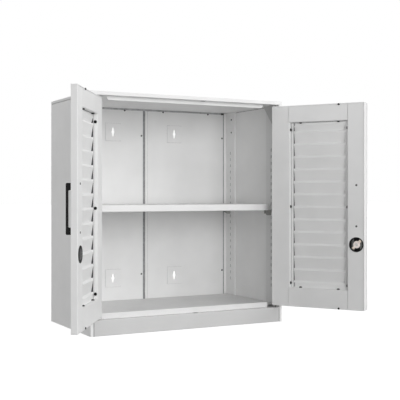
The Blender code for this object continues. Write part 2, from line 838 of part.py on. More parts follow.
def free_edge(side):
    """How far inward the door's folded box reaches when it is closed."""
    if side == LEFT:
        return WIDTH / 2 + LEFT_PAST_CENTRE
    return WIDTH / 2 - LEFT_PAST_CENTRE - MEETING_GAP


def add_skin(side, pivot, looks):
    """The door's outer sheet, folded back on four sides and in again round its open rear."""
    flip = -side
    free = free_edge(side)
    box_x = (DOOR_HINGE_EDGE, free)
    box_y = (0, DOOR_THICKNESS)
    outer = rounded_block(box_x, box_y, (DOOR_BOTTOM, DOOR_TOP), BEND + SHEET, flip)
    place = (side * PIVOT_INWARD, -PIVOT_DEPTH, 0)
    skin = add_piece(SIDE_NAMES[side] + "_door_skin", outer, looks["paint"], pivot, place)
    inner_z = (DOOR_BOTTOM + SHEET, DOOR_TOP - SHEET)
    inner_hinge = DOOR_HINGE_EDGE + SHEET
    inner_free = free - SHEET
    inner_back = DOOR_THICKNESS - SHEET
    hollow = rectangle((inner_hinge, inner_free), (SHEET, inner_back))
    if side == LEFT:
        step_start = free - REBATE_WIDTH
        step = block(
            (step_start, free + LONG_CUT),
            (-LONG_CUT, REBATE_DEPTH),
            (DOOR_BOTTOM - LONG_CUT, DOOR_TOP + LONG_CUT),
            flip,
        )
        cut(skin, step)
        hollow = [
            (inner_hinge, SHEET),
            (step_start - SHEET, SHEET),
            (step_start - SHEET, REBATE_DEPTH + SHEET),
            (inner_free, REBATE_DEPTH + SHEET),
            (inner_free, inner_back),
            (inner_hinge, inner_back),
        ]
    else:
        lip_z = (DOOR_BOTTOM + 2 * SHEET, DOOR_TOP - 2 * SHEET)
        join(skin, block((free - EDGE_LIP, free + EDGE_LIP), (0, SHEET), lip_z, flip))
    cut(skin, prism(hollow, "Z", *inner_z, flip))
    open_x = (DOOR_HINGE_EDGE + SKIN_RETURN, free - SKIN_RETURN)
    open_z = (DOOR_BOTTOM + SKIN_RETURN, DOOR_TOP - SKIN_RETURN)
    cut(skin, block(open_x, (inner_back - SHEET, DOOR_THICKNESS + LONG_CUT), open_z, flip))

    holes = [window_cutter(flip)]
    for level in (DOOR_BOTTOM, DOOR_TOP):
        outline = circle((PIVOT_INWARD, PIVOT_DEPTH), BUSH_RADIUS + SEAT)
        holes.append(prism(outline, "Z", level - LONG_CUT, level + LONG_CUT, flip))
    if side == RIGHT:
        housing = circle((LOCK_INWARD, LOCK_HEIGHT), HOUSING_RADIUS + SEAT, HOUSING_STEPS)
        holes.append(prism(housing, "Y", -LONG_CUT, 2 * SHEET, flip))
        holes.append(rod_passage(UPPER_ROD_INWARD, DOOR_TOP, flip))
        holes.append(rod_passage(LOWER_ROD_INWARD, DOOR_BOTTOM, flip))
    cut(skin, *holes)


def window_cutter(flip):
    window_x = (WINDOW_HINGE, WINDOW_FREE)
    return block(window_x, (-LONG_CUT, 2 * SHEET), (WINDOW_BOTTOM, WINDOW_TOP), flip)


def rod_passage(inward, level, flip):
    """The hole in the door's end through which a lock rod slides."""
    x = (inward - ROD_WIDTH / 2 - ROD_SLACK, inward + ROD_WIDTH / 2 + ROD_SLACK)
    y = (ROD_DEPTH - ROD_SLACK, ROD_DEPTH + ROD_THICKNESS + ROD_SLACK)
    return block(x, y, (level - LONG_CUT, level + LONG_CUT), flip)


def add_stiles(side, pivot, looks):
    """The inner channels along the hinge edge and along the free edge."""
    flip = -side
    door = SIDE_NAMES[side]
    place = (side * PIVOT_INWARD, -PIVOT_DEPTH, 0)
    ends = (DOOR_BOTTOM + SHEET + SEAT, DOOR_TOP - SHEET - SEAT)
    reveal_front = COVER_BACK - REVEAL_DEPTH
    hinge_outer = DOOR_HINGE_EDGE + SHEET + SEAT
    hinge_path = [
        (WINDOW_HINGE, reveal_front),
        (WINDOW_HINGE, COVER_BACK),
        (hinge_outer, COVER_BACK),
        (hinge_outer, COVER_FORWARD),
    ]
    sheet = prism(folded(hinge_path), "Z", *ends, flip)
    hinge_stile = add_piece(door + "_hinge_stile", sheet, looks["paint"], pivot, place)
    rail_x = (DOOR_HINGE_EDGE + RAIL_START, WINDOW_HINGE + LONG_CUT)
    rail_y = (COVER_FORWARD, COVER_BACK + LONG_CUT)
    over = block(rail_x, rail_y, (WINDOW_TOP - SEAT, DOOR_TOP), flip)
    under = block(rail_x, rail_y, (DOOR_BOTTOM, WINDOW_BOTTOM + SEAT), flip)
    cut(hinge_stile, over, under)

    free_outer = free_edge(side) - SHEET - SEAT
    lock_path = [
        (free_outer, COVER_FORWARD),
        (free_outer, COVER_BACK),
        (WINDOW_FREE, COVER_BACK),
        (WINDOW_FREE, reveal_front),
    ]
    sheet = prism(folded(lock_path), "Z", *ends, flip)
    lock_stile = add_piece(door + "_lock_stile", sheet, looks["paint"], pivot, place)
    hole = circle((LOCK_INWARD, LOCK_HEIGHT), LOCK_HOLE_RADIUS, BIG_ROUND_STEPS)
    y = (COVER_BACK - LONG_CUT, COVER_BACK + LONG_CUT)
    cut(lock_stile, prism(hole, "Y", *y, flip))


def add_rails(side, pivot, looks):
    """The channels across the door above and below its window."""
    reveal_front = COVER_BACK - REVEAL_DEPTH
    reach = {
        "top": (WINDOW_TOP, DOOR_TOP - SHEET - SEAT),
        "bottom": (DOOR_BOTTOM + SHEET + SEAT, WINDOW_BOTTOM),
    }
    start = DOOR_HINGE_EDGE + RAIL_START + RAIL_JOINT
    for position, (low, high) in reach.items():
        low_front, high_front = reveal_front, COVER_FORWARD
        if position == "bottom":
            low_front, high_front = COVER_FORWARD, reveal_front
        path = [(low_front, low), (COVER_BACK, low), (COVER_BACK, high), (high_front, high)]
        sheet = prism(folded(path), "X", start, WINDOW_FREE - SEAT, -side)
        name = f"{SIDE_NAMES[side]}_{position}_rail"
        place = (side * PIVOT_INWARD, -PIVOT_DEPTH, 0)
        add_piece(name, sheet, looks["paint"], pivot, place)


def louvre_outline(depth, back):
    """The saw-tooth section of the louvres, from the top down, closed along a plane at the back.

    Each slat leans forward as it goes down, and a short steep band brings it in again.
    """
    field_top = WINDOW_TOP - PANEL_RIM
    pitch = (WINDOW_TOP - WINDOW_BOTTOM - LOUVRE_FIRST - LOUVRE_LAST) / (LOUVRE_COUNT - 1)
    valley = PANEL_FRONT - LOUVRE_PROUD + depth
    ridge = LOUVRE_FRONT + depth
    outline = [(back, field_top), (valley, field_top)]
    for index in range(LOUVRE_COUNT):
        centre = WINDOW_TOP - LOUVRE_FIRST - index * pitch
        outline.append((ridge, centre + LOUVRE_BAND / 2))
        outline.append((valley, centre - LOUVRE_BAND / 2))
    outline.append((back, outline[-1][1]))
    return outline


def add_louvre_panel(side, pivot, looks):
    """A tray set in the window, its middle pressed into louvres that are closed at their ends."""
    flip = -side
    x = (WINDOW_HINGE + SEAT, WINDOW_FREE - SEAT)
    z = (WINDOW_BOTTOM + SEAT, WINDOW_TOP - SEAT)
    place = (side * PIVOT_INWARD, -PIVOT_DEPTH, 0)
    outer = block(x, (PANEL_FRONT, PANEL_WALL_BACK), z, flip)
    panel = add_piece(SIDE_NAMES[side] + "_louvre_panel", outer, looks["paint"], pivot, place)
    plate_back = PANEL_FRONT + SHEET
    inner_x = (x[0] + SHEET, x[1] - SHEET)
    inner_z = (z[0] + SHEET, z[1] - SHEET)
    cut(panel, block(inner_x, (plate_back, PANEL_WALL_BACK + LONG_CUT), inner_z, flip))
    field = (x[0] + PANEL_RIM, x[1] - PANEL_RIM)
    join(panel, prism(louvre_outline(0, plate_back), "X", *field, flip))
    behind = louvre_outline(SHEET, plate_back + LONG_CUT)
    cut(panel, prism(behind, "X", field[0] + SHEET, field[1] - SHEET, flip))


def add_handle(side, pivot, looks):
    """A black bar handle, moulded with a foot at each end."""
    half = HANDLE_LENGTH / 2
    foot = half - HANDLE_FOOT
    face = -SEAT
    bar_back = face - HANDLE_PROJECTION + HANDLE_BAR
    bar_front = face - HANDLE_PROJECTION
    corners = [
        (face, -half, 0),
        (bar_front, -half, HANDLE_CORNER),
        (bar_front, half, HANDLE_CORNER),
        (face, half, 0),
        (face, foot, 0),
        (bar_back, foot, HANDLE_CORNER),
        (bar_back, -foot, HANDLE_CORNER),
        (face, -foot, 0),
    ]
    x = (LOCK_INWARD - HANDLE_WIDTH / 2, LOCK_INWARD + HANDLE_WIDTH / 2)
    grip = prism(rounded(corners, 4), "X", *x, -side)
    middle = (DOOR_BOTTOM + DOOR_TOP) / 2
    place = (side * PIVOT_INWARD, -PIVOT_DEPTH, middle)
    add_piece(SIDE_NAMES[side] + "_handle", grip, looks["black"], pivot, place)


def add_bumpers(side, pivot, looks):
    """The buffers between the door's inner face and the stop rails."""
    height = FRAME_DEPTH - DOOR_THICKNESS - 2 * SEAT
    profile = [(0, 0), (BUMPER_RADIUS, 0), (BUMPER_RADIUS, height), (0, height)]
    levels = {"upper": DOOR_TOP - BUMPER_RADIUS, "lower": DOOR_BOTTOM + BUMPER_RADIUS}
    across = side * (PIVOT_INWARD - BUMPER_INWARD)
    for level_name, level in levels.items():
        name = f"{level_name}_{SIDE_NAMES[side]}_bumper"
        place = (across, DOOR_THICKNESS + SEAT - PIVOT_DEPTH, level)
        add_piece(name, turned(profile, "Y"), looks["black"], pivot, place)


def add_hole_cap(pivot, looks):
    """The cap that closes the round hole in the left door's inner stile."""
    barrel = LOCK_HOLE_RADIUS - SEAT
    front = COVER_BACK - SHEET - BEZEL_BARREL
    seat = COVER_BACK + SEAT
    rear = seat + BEZEL_FLANGE
    profile = [
        (0, front),
        (barrel, front),
        (barrel, seat),
        (BEZEL_RADIUS, seat),
        (BEZEL_RADIUS, rear),
        (BEZEL_OPENING_RADIUS, rear),
        (BEZEL_OPENING_RADIUS, rear - CAP_RECESS),
        (0, rear - CAP_RECESS),
    ]
    place = (PIVOT_INWARD * LEFT + LOCK_INWARD, -PIVOT_DEPTH, LOCK_HEIGHT)
    cap = turned(profile, "Y", BIG_ROUND_STEPS)
    add_piece("left_hole_cap", cap, looks["black"], pivot, place)


def add_door(side, cabinet, looks):
    """One door, turned open about its hinge pins. Returns the empty on the hinge's axis."""
    place = (side * (WIDTH / 2 - PIVOT_INWARD), PIVOT_DEPTH, 0)
    pivot = add_empty(SIDE_NAMES[side] + "_door_pivot", cabinet, place, side * DOOR_OPEN)
    add_skin(side, pivot, looks)
    add_stiles(side, pivot, looks)
    add_rails(side, pivot, looks)
    add_louvre_panel(side, pivot, looks)
    add_handle(side, pivot, looks)
    add_bumpers(side, pivot, looks)
    add_hinge_bushes(side, pivot, looks)
    return pivot


# Lock


def add_lock_body(axis, looks):
    """The ring round the lock's hole, and the housing that passes through the door's skin."""
    barrel = LOCK_HOLE_RADIUS - SEAT
    seat = COVER_BACK + SEAT
    ring = [
        (BEZEL_OPENING_RADIUS, COVER_BACK - SHEET - BEZEL_BARREL),
        (barrel, COVER_BACK - SHEET - BEZEL_BARREL),
        (barrel, seat),
        (BEZEL_RADIUS, seat),
        (BEZEL_RADIUS, seat + BEZEL_FLANGE),
        (BEZEL_OPENING_RADIUS, seat + BEZEL_FLANGE),
    ]
    bezel = turned(ring, "Y", BIG_ROUND_STEPS, closed=True)
    add_piece("lock_bezel", bezel, looks["black"], axis)
    bore = PLUG_RADIUS + SEAT
    rear = ROD_DEPTH - SEAT
    body = [
        (bore, -SEAT - HOUSING_FLANGE),
        (HOUSING_FLANGE_RADIUS, -SEAT - HOUSING_FLANGE),
        (HOUSING_FLANGE_RADIUS, -SEAT),
        (HOUSING_RADIUS, -SEAT),
        (HOUSING_RADIUS, rear),
        (bore, rear),
    ]
    housing = turned(body, "Y", HOUSING_STEPS, closed=True)
    add_piece("lock_housing", housing, looks["zinc"], axis)


def add_key_plug(axis, looks):
    """The turning plug, with the key's slot in front and a neck that carries the cam behind."""
    front = -SEAT - HOUSING_FLANGE
    shoulder = CAM_DEPTH - SEAT
    end = CAM_DEPTH + CAM_THICKNESS + NUT_HEIGHT + 2 * SEAT
    profile = [
        (0, front),
        (PLUG_RADIUS, front),
        (PLUG_RADIUS, shoulder),
        (PLUG_NECK_RADIUS, shoulder),
        (PLUG_NECK_RADIUS, end),
        (0, end),
    ]
    plug = add_piece("key_plug", turned(profile, "Y", HOUSING_STEPS), looks["zinc"], axis)
    slot_x = (-KEY_SLOT_WIDTH / 2, KEY_SLOT_WIDTH / 2)
    slot_z = (-KEY_SLOT_HEIGHT / 2, KEY_SLOT_HEIGHT / 2)
    cut(plug, block(slot_x, (front - LONG_CUT, front + KEY_SLOT_DEPTH), slot_z))


def cam_outline():
    """Two rounded arms on a round hub, drawn level."""
    end = CAM_ARM_WIDTH / 2
    shoulder = math.asin(end / CAM_HUB_RADIUS)
    quarter = math.pi / 2
    outline = arc_points((CAM_PIN_AT, 0), end, -quarter, quarter, 8)
    outline += arc_points((0, 0), CAM_HUB_RADIUS, shoulder, math.pi - shoulder, 6)
    outline += arc_points((-CAM_PIN_AT, 0), end, quarter, 3 * quarter, 8)
    outline += arc_points((0, 0), CAM_HUB_RADIUS, math.pi + shoulder, 2 * math.pi - shoulder, 6)
    return outline


def add_cam(axis, looks):
    """The two-armed cam, each arm with the pin that drives a rod, and the nut that holds it."""
    start = Matrix.Rotation(CAM_TURN / 2, 2)
    outline = [start @ Vector(spot) for spot in cam_outline()]
    plate = prism(outline, "Y", CAM_DEPTH, CAM_DEPTH + CAM_THICKNESS, -RIGHT)
    cam = add_piece("lock_cam", plate, looks["zinc"], axis)
    pins = []
    for end in (-1, 1):
        centre = start @ Vector((end * CAM_PIN_AT, 0))
        section = circle(centre, CAM_PIN_RADIUS)
        pins.append(prism(section, "Y", ROD_DEPTH, CAM_DEPTH + CAM_THICKNESS / 2, -RIGHT))
    join(cam, together(pins))
    bore = circle((0, 0), PLUG_NECK_RADIUS + SEAT, HOUSING_STEPS)
    cut(cam, prism(bore, "Y", CAM_DEPTH - LONG_CUT, CAM_DEPTH + CAM_THICKNESS + LONG_CUT))

    base = CAM_DEPTH + CAM_THICKNESS + SEAT
    nut_body = prism(circle((0, 0), NUT_RADIUS, 6), "Y", base, base + NUT_HEIGHT)
    nut = add_piece("cam_nut", nut_body, looks["zinc"], axis)
    cut(nut, prism(bore, "Y", base - LONG_CUT, base + NUT_HEIGHT + LONG_CUT))


def add_rod(name, end, direction, pivot, looks):
    """A flat lock rod. The slot in its foot rides on the cam's pin.

    It points up or down by direction, and its end is given as a level.
    """
    pin_level = LOCK_HEIGHT - direction * CAM_PIN_AT * math.sin(CAM_TURN / 2)
    sideways = CAM_PIN_AT * (1 - math.cos(CAM_TURN / 2))
    slot_x = sideways / 2 + CAM_PIN_RADIUS + FOOT_SLOT_MARGIN
    slot_z = CAM_PIN_RADIUS + FOOT_SLOT_MARGIN
    foot_x = slot_x + FOOT_RIM
    foot_z = slot_z + FOOT_RIM
    bar = ROD_WIDTH / 2
    outline = [
        (-foot_x, -direction * foot_z),
        (foot_x, -direction * foot_z),
        (foot_x, direction * foot_z),
        (bar, direction * foot_z),
        (bar, end - pin_level),
        (-bar, end - pin_level),
        (-bar, direction * foot_z),
        (-foot_x, direction * foot_z),
    ]
    inward = UPPER_ROD_INWARD if direction > 0 else LOWER_ROD_INWARD
    place = (PIVOT_INWARD - inward, ROD_DEPTH - PIVOT_DEPTH, pin_level)
    rod = add_piece(name, prism(outline, "Y", 0, ROD_THICKNESS), looks["zinc"], pivot, place)
    slot_y = (-LONG_CUT, ROD_THICKNESS + LONG_CUT)
    cut(rod, block((-slot_x, slot_x), slot_y, (-slot_z, slot_z)))


def add_lock(pivot, looks):
    """The right door's lock, unlocked: turning its cam drives one rod up and one down."""
    place = (PIVOT_INWARD - LOCK_INWARD, -PIVOT_DEPTH, LOCK_HEIGHT)
    axis = add_empty("lock_axis", pivot, place)
    add_lock_body(axis, looks)
    add_key_plug(axis, looks)
    add_cam(axis, looks)
    add_rod("upper_rod", HEIGHT - SHEET - ROD_END_GAP - ROD_TRAVEL, 1, pivot, looks)
    add_rod("lower_rod", PLINTH_HEIGHT - ROD_INTO_PLINTH + ROD_TRAVEL, -1, pivot, looks)


# The whole cabinet


def main():
    clear_scene()
    looks = make_looks()
    cabinet = add_empty("cabinet", None, (0, -DEPTH, -HEIGHT / 2))
    add_top_panel(cabinet, looks)
    add_ceiling_panel(cabinet, looks)
    add_floor_panel(cabinet, looks)
    add_plinth(cabinet, looks)
    add_joint_strip(cabinet, looks)
    add_hanging_plates(cabinet, looks)
    add_shelf(cabinet, looks)
    for side in (LEFT, RIGHT):
        add_side_panel(side, cabinet, looks)
        add_back_panel(side, cabinet, looks)
        add_uprights(side, cabinet, looks)
        add_corner_bracket(side, cabinet, looks)
        add_clip(side, "front", FRONT_SLOT_LINE, cabinet, looks)
        add_clip(side, "rear", REAR_SLOT_LINE, cabinet, looks)
        add_hinge_pins(side, cabinet, looks)
        pivot = add_door(side, cabinet, looks)
        if side == LEFT:
            add_hole_cap(pivot, looks)
        else:
            add_lock(pivot, looks)


main()
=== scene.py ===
"""Looks of the sheet steel wall cabinet: materials, screws, joint lines, floor, lights and camera.

Everything is in metres in the cabinet's frame: +X to the right, +Y into the wall, +Z up, with the
origin in the middle of the back. A side is -1 for the left and +1 for the right. Places on a door
are given as for the closed door: inward from the cabinet's side, back from its front, and a level.
A level is a height above the cabinet's underside, and a depth is a distance back from its front.
"""

import json
import math

import bmesh
import bpy
from mathutils import Matrix, Vector


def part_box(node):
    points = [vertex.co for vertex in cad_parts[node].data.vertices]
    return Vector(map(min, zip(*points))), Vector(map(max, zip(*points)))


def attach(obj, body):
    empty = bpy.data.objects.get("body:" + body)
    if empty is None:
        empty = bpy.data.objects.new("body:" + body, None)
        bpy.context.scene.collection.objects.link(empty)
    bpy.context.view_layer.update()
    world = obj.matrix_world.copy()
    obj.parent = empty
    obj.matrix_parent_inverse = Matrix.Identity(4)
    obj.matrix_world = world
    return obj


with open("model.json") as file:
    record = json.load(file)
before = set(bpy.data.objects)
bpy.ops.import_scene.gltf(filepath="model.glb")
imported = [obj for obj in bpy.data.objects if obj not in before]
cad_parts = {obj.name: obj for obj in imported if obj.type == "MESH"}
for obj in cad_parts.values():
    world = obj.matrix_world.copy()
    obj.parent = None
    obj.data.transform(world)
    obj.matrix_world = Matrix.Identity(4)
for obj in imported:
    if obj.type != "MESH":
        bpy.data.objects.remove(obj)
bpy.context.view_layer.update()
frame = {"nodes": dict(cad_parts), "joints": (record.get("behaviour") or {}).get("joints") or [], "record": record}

LEFT, RIGHT = -1, 1
SIDES = (LEFT, RIGHT)
SIDE_NAMES = {LEFT: "left", RIGHT: "right"}
TO_RIGHT = Vector((1, 0, 0))
TO_WALL = Vector((0, 1, 0))
TO_FRONT = Vector((0, -1, 0))
UP = Vector((0, 0, 1))

# Sizes read from the frame
TOP_LOW, TOP_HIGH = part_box("top_panel")
HALF_WIDTH = TOP_HIGH.x
FRONT = TOP_LOW.y
UNDERSIDE = -TOP_HIGH.z
HINGES = {joint["child"]: joint for joint in frame["joints"] if joint["type"] == "hinge"}
# A door's turn from the photograph's pose to closed
DOOR_OPEN = math.radians(HINGES["left_door"]["range_deg"][1])
PIVOT = Vector(HINGES["right_door"]["pos_m"])


# Nodes of the materials

# The range that noise mostly fills
NOISE_RANGE = (0.3, 0.7)
# The dot product of the rounded and the flat normal, where an edge begins and where it is full
EDGE_RANGE = (0.99, 0.85)
# How strongly the painted highlight lightens an edge, from its faintest patches to its strongest
HIGHLIGHT_SHARE = (0.3, 1.0)
UNIT_RANGE = (0.0, 1.0)
BEVEL_SAMPLES = 6


def node_at(tree, kind, **values):
    """A new node of the kind, with its settings."""
    node = tree.nodes.new(kind)
    for name, value in values.items():
        setattr(node, name, value)
    return node


def noise(tree, scale, detail=2.0, roughness=0.5, stretch=None):
    """Noise in the object's own space, so many grains to the metre, or drawn out by a stretch."""
    place = node_at(tree, "ShaderNodeTexCoord").outputs["Object"]
    if stretch:
        mapping = node_at(tree, "ShaderNodeMapping")
        mapping.inputs["Scale"].default_value = stretch
        tree.links.new(place, mapping.inputs["Vector"])
        place = mapping.outputs["Vector"]
    grain = node_at(tree, "ShaderNodeTexNoise")
    grain.inputs["Scale"].default_value = scale
    grain.inputs["Detail"].default_value = detail
    grain.inputs["Roughness"].default_value = roughness
    tree.links.new(place, grain.inputs["Vector"])
    return grain.outputs["Fac"]


def carried(tree, source, old, new):
    """The source, carried from its old range of values to a new one."""
    band = node_at(tree, "ShaderNodeMapRange")
    for label, value in zip(("From Min", "From Max", "To Min", "To Max"), (*old, *new)):
        band.inputs[label].default_value = value
    tree.links.new(source, band.inputs["Value"])
    return band.outputs["Result"]


def combined(tree, operation, first, second):
    """Two values put together by a math operation."""
    both = node_at(tree, "ShaderNodeMath", operation=operation)
    tree.links.new(first, both.inputs[0])
    tree.links.new(second, both.inputs[1])
    return both.outputs[0]


def mottled(tree, source, dark, light):
    """A colour that wanders between two near ones."""
    mix = node_at(tree, "ShaderNodeMix", data_type="RGBA")
    mix.inputs["A"].default_value = (*dark, 1.0)
    mix.inputs["B"].default_value = (*light, 1.0)
    tree.links.new(carried(tree, source, NOISE_RANGE, UNIT_RANGE), mix.inputs["Factor"])
    return mix.outputs["Result"]


def rounded_edges(tree, radius):
    """The normal as if the edges were rounded, and a mask that is 1 on those edges."""
    bevel = node_at(tree, "ShaderNodeBevel", samples=BEVEL_SAMPLES)
    bevel.inputs["Radius"].default_value = radius
    flat = node_at(tree, "ShaderNodeNewGeometry")
    along = node_at(tree, "ShaderNodeVectorMath", operation="DOT_PRODUCT")
    tree.links.new(bevel.outputs["Normal"], along.inputs[0])
    tree.links.new(flat.outputs["Normal"], along.inputs[1])
    mask = carried(tree, along.outputs["Value"], EDGE_RANGE, UNIT_RANGE)
    return bevel.outputs["Normal"], mask


def edge_highlighted(tree, colour, bright, radius):
    """The colour with a painted highlight, lightened to the bright one in patches along the edges, and the rounded
    normal.
    """
    normal, edge = rounded_edges(tree, radius)
    patches = carried(tree, noise(tree, scale=120.0, detail=3.0), NOISE_RANGE, HIGHLIGHT_SHARE)
    highlight_mix = node_at(tree, "ShaderNodeMix", data_type="RGBA")
    highlight_mix.inputs["B"].default_value = (*bright, 1.0)
    tree.links.new(combined(tree, "MULTIPLY", edge, patches), highlight_mix.inputs["Factor"])
    tree.links.new(colour, highlight_mix.inputs["A"])
    return highlight_mix.outputs["Result"], normal


def bumped(tree, heights, normal):
    """The normal, bent by several (height, distance in metres) pairs."""
    for height, distance in heights:
        bump = node_at(tree, "ShaderNodeBump")
        bump.inputs["Strength"].default_value = 1.0
        bump.inputs["Distance"].default_value = distance
        tree.links.new(height, bump.inputs["Height"])
        tree.links.new(normal, bump.inputs["Normal"])
        normal = bump.outputs["Normal"]
    return normal


def new_material(name, metallic=0.0):
    """A material, its node tree and its shader."""
    made = bpy.data.materials.new(name)
    made.use_nodes = True
    shader = made.node_tree.nodes["Principled BSDF"]
    shader.inputs["Metallic"].default_value = metallic
    return made, made.node_tree, shader


def scaled(colour, share):
    """The colour, each channel times the share."""
    return tuple(channel * share for channel in colour)


def capped(colour):
    """The colour, no brighter than white."""
    return tuple(min(1.0, channel) for channel in colour)


# Kinds of material: shares of the tone, radii of rounded edges and heights of bumps

COAT_DARK = (0.965, 0.965, 0.962)
COAT_LIGHT = (1.015, 1.015, 1.012)
# Share of the tone for the painted highlight on the edges
COAT_HIGHLIGHT = (1.08, 1.08, 1.08)
COAT_ROUGHNESS = (0.40, 0.50)
COAT_SPECULAR = 0.42
FOLD_RADIUS = 0.0008
PEEL_HEIGHT = 0.00008
WAVE_HEIGHT = 0.0004

PLASTIC_DARK = (1.0, 1.0, 1.02)
PLASTIC_LIGHT = (1.5, 1.5, 1.55)
# Share of the light tone for the painted highlight on the edges
PLASTIC_HIGHLIGHT = 2.2
PLASTIC_SPECULAR = 0.18
GLOSS_SWING = 0.06
MOULDED_RADIUS = 0.0004
SPARK_HEIGHT = 0.00006

# Share of the light tone for the painted highlight on the edges
PLATED_HIGHLIGHT = 1.35
PLATED_RADIUS = 0.0003
SCRATCH_STRETCH = (2500.0, 2500.0, 90.0)
SCRATCH_HEIGHT = 0.00002


def powder_coat(name, tone):
    """Baked powder coat: a fine orange peel, larger slow waves and a faint change of tone."""
    made, tree, shader = new_material(name)
    clouds = noise(tree, scale=9.0, detail=3.0)
    base = mottled(tree, clouds, scaled(COAT_DARK, tone), scaled(COAT_LIGHT, tone))
    # Painted highlight: the edges lighten in patches to this colour
    bright = capped(scaled(COAT_HIGHLIGHT, tone))
    colour, normal = edge_highlighted(tree, base, bright, FOLD_RADIUS)
    tree.links.new(colour, shader.inputs["Base Color"])
    sheen = carried(tree, noise(tree, scale=60.0), NOISE_RANGE, COAT_ROUGHNESS)
    tree.links.new(sheen, shader.inputs["Roughness"])
    shader.inputs["Specular IOR Level"].default_value = COAT_SPECULAR
    peel = noise(tree, scale=900.0, roughness=0.6)
    waves = noise(tree, scale=26.0, detail=1.0)
    normal = bumped(tree, [(peel, PEEL_HEIGHT), (waves, WAVE_HEIGHT)], normal)
    tree.links.new(normal, shader.inputs["Normal"])
    return made


def moulded(name, tone, gloss):
    """Moulded plastic or rubber with a fine spark-eroded grain."""
    made, tree, shader = new_material(name)
    light = scaled(PLASTIC_LIGHT, tone)
    base = mottled(tree, noise(tree, scale=70.0), scaled(PLASTIC_DARK, tone), light)
    # Painted highlight: the edges lighten in patches
    colour, normal = edge_highlighted(tree, base, scaled(light, PLASTIC_HIGHLIGHT), MOULDED_RADIUS)
    tree.links.new(colour, shader.inputs["Base Color"])
    grain = noise(tree, scale=1800.0, detail=1.0)
    sheen = carried(tree, grain, NOISE_RANGE, (gloss - GLOSS_SWING, gloss + GLOSS_SWING))
    tree.links.new(sheen, shader.inputs["Roughness"])
    shader.inputs["Specular IOR Level"].default_value = PLASTIC_SPECULAR
    tree.links.new(bumped(tree, [(grain, SPARK_HEIGHT)], normal), shader.inputs["Normal"])
    return made


def plated_steel(name, dark, light, roughness):
    """Plated or oiled steel: blotches of two tones and fine scratches. Roughness is a range."""
    made, tree, shader = new_material(name, metallic=1.0)
    base = mottled(tree, noise(tree, scale=180.0, detail=4.0), dark, light)
    # Painted highlight: the edges lighten in patches to this colour
    bright = capped(scaled(light, PLATED_HIGHLIGHT))
    colour, normal = edge_highlighted(tree, base, bright, PLATED_RADIUS)
    tree.links.new(colour, shader.inputs["Base Color"])
    scratches = noise(tree, scale=1.0, stretch=SCRATCH_STRETCH)
    sheen = carried(tree, scratches, NOISE_RANGE, roughness)
    tree.links.new(sheen, shader.inputs["Roughness"])
    tree.links.new(bumped(tree, [(scratches, SCRATCH_HEIGHT)], normal), shader.inputs["Normal"])
    return made


# Materials of the nodes and the small pieces

PAINT = powder_coat("grey_powder_coat", 0.83)
# Painted light: lighter copies of the grey coat for the side panels, uprights, ceiling, back and hanging plates,
# for the light inside the cabinet
LIT_INSIDE_PAINT = powder_coat("inside_painted_light_coat", 0.91)
LIT_BACK_PAINT = powder_coat("back_painted_light_coat", 0.86)
PRESSED_PAINT = powder_coat("louvre_powder_coat", 0.82)
# Painted shade: a darker copy of the grey coat for the corner brackets, for the shade under the top
SHADED_BRACKET_PAINT = powder_coat("bracket_painted_shade_coat", 0.56)
# Painted shade: a darker copy of the grey coat for the plinth, darker low down where less light falls
SHADED_PLINTH_PAINT = powder_coat("plinth_painted_shade_coat", 0.65)
# Painted shade: a darker copy of the grey coat for the floor panel and its front lip, darker low down where less
# light falls
SHADED_FLOOR_PAINT = powder_coat("floor_painted_shade_coat", 0.76)
BLACK = moulded("black_plastic", 0.004, gloss=0.5)
CAP_GREY = moulded("dark_grey_plastic", 0.05, gloss=0.3)
# Painted shade: dark greys for the shade in the carcass's grooves and joints
JOINT_SHADE = moulded("grey_joint_shade", 0.25, gloss=0.75)
TOP_LINE_SHADE = moulded("pale_top_line_shade", 0.38, gloss=0.75)
# Painted shade: a dark grey for the shade where the louvred panel meets its reveal
PANEL_EDGE_SHADE = moulded("grey_reveal_shade", 0.14, gloss=0.75)
ROD_STEEL = plated_steel(
    "dark_rod_steel", (0.08, 0.08, 0.08), (0.15, 0.15, 0.145), roughness=(0.35, 0.5)
)
DARK_SCREW = plated_steel(
    "dull_screw_steel", (0.07, 0.07, 0.07), (0.13, 0.13, 0.13), roughness=(0.4, 0.55)
)
# Painted shade: a near-black for the shade in slits, slots and gaps
GAP_SHADE = moulded("gap_shade_grey", 0.05, gloss=0.8)
ZINC = plated_steel(
    "zinc_plate", (0.36, 0.35, 0.33), (0.52, 0.50, 0.47), roughness=(0.28, 0.44)
)
NICKEL = plated_steel(
    "nickel_plate", (0.52, 0.46, 0.44), (0.70, 0.63, 0.60), roughness=(0.22, 0.36)
)
BRASS = plated_steel(
    "pale_brass", (0.46, 0.39, 0.33), (0.66, 0.58, 0.51), roughness=(0.24, 0.38)
)
SPRING_STEEL = plated_steel(
    "spring_steel", (0.34, 0.34, 0.33), (0.50, 0.50, 0.48), roughness=(0.34, 0.5)
)
SCREW_BLACK = plated_steel(
    "blackened_steel", (0.012, 0.012, 0.012), (0.03, 0.03, 0.03), roughness=(0.35, 0.5)
)

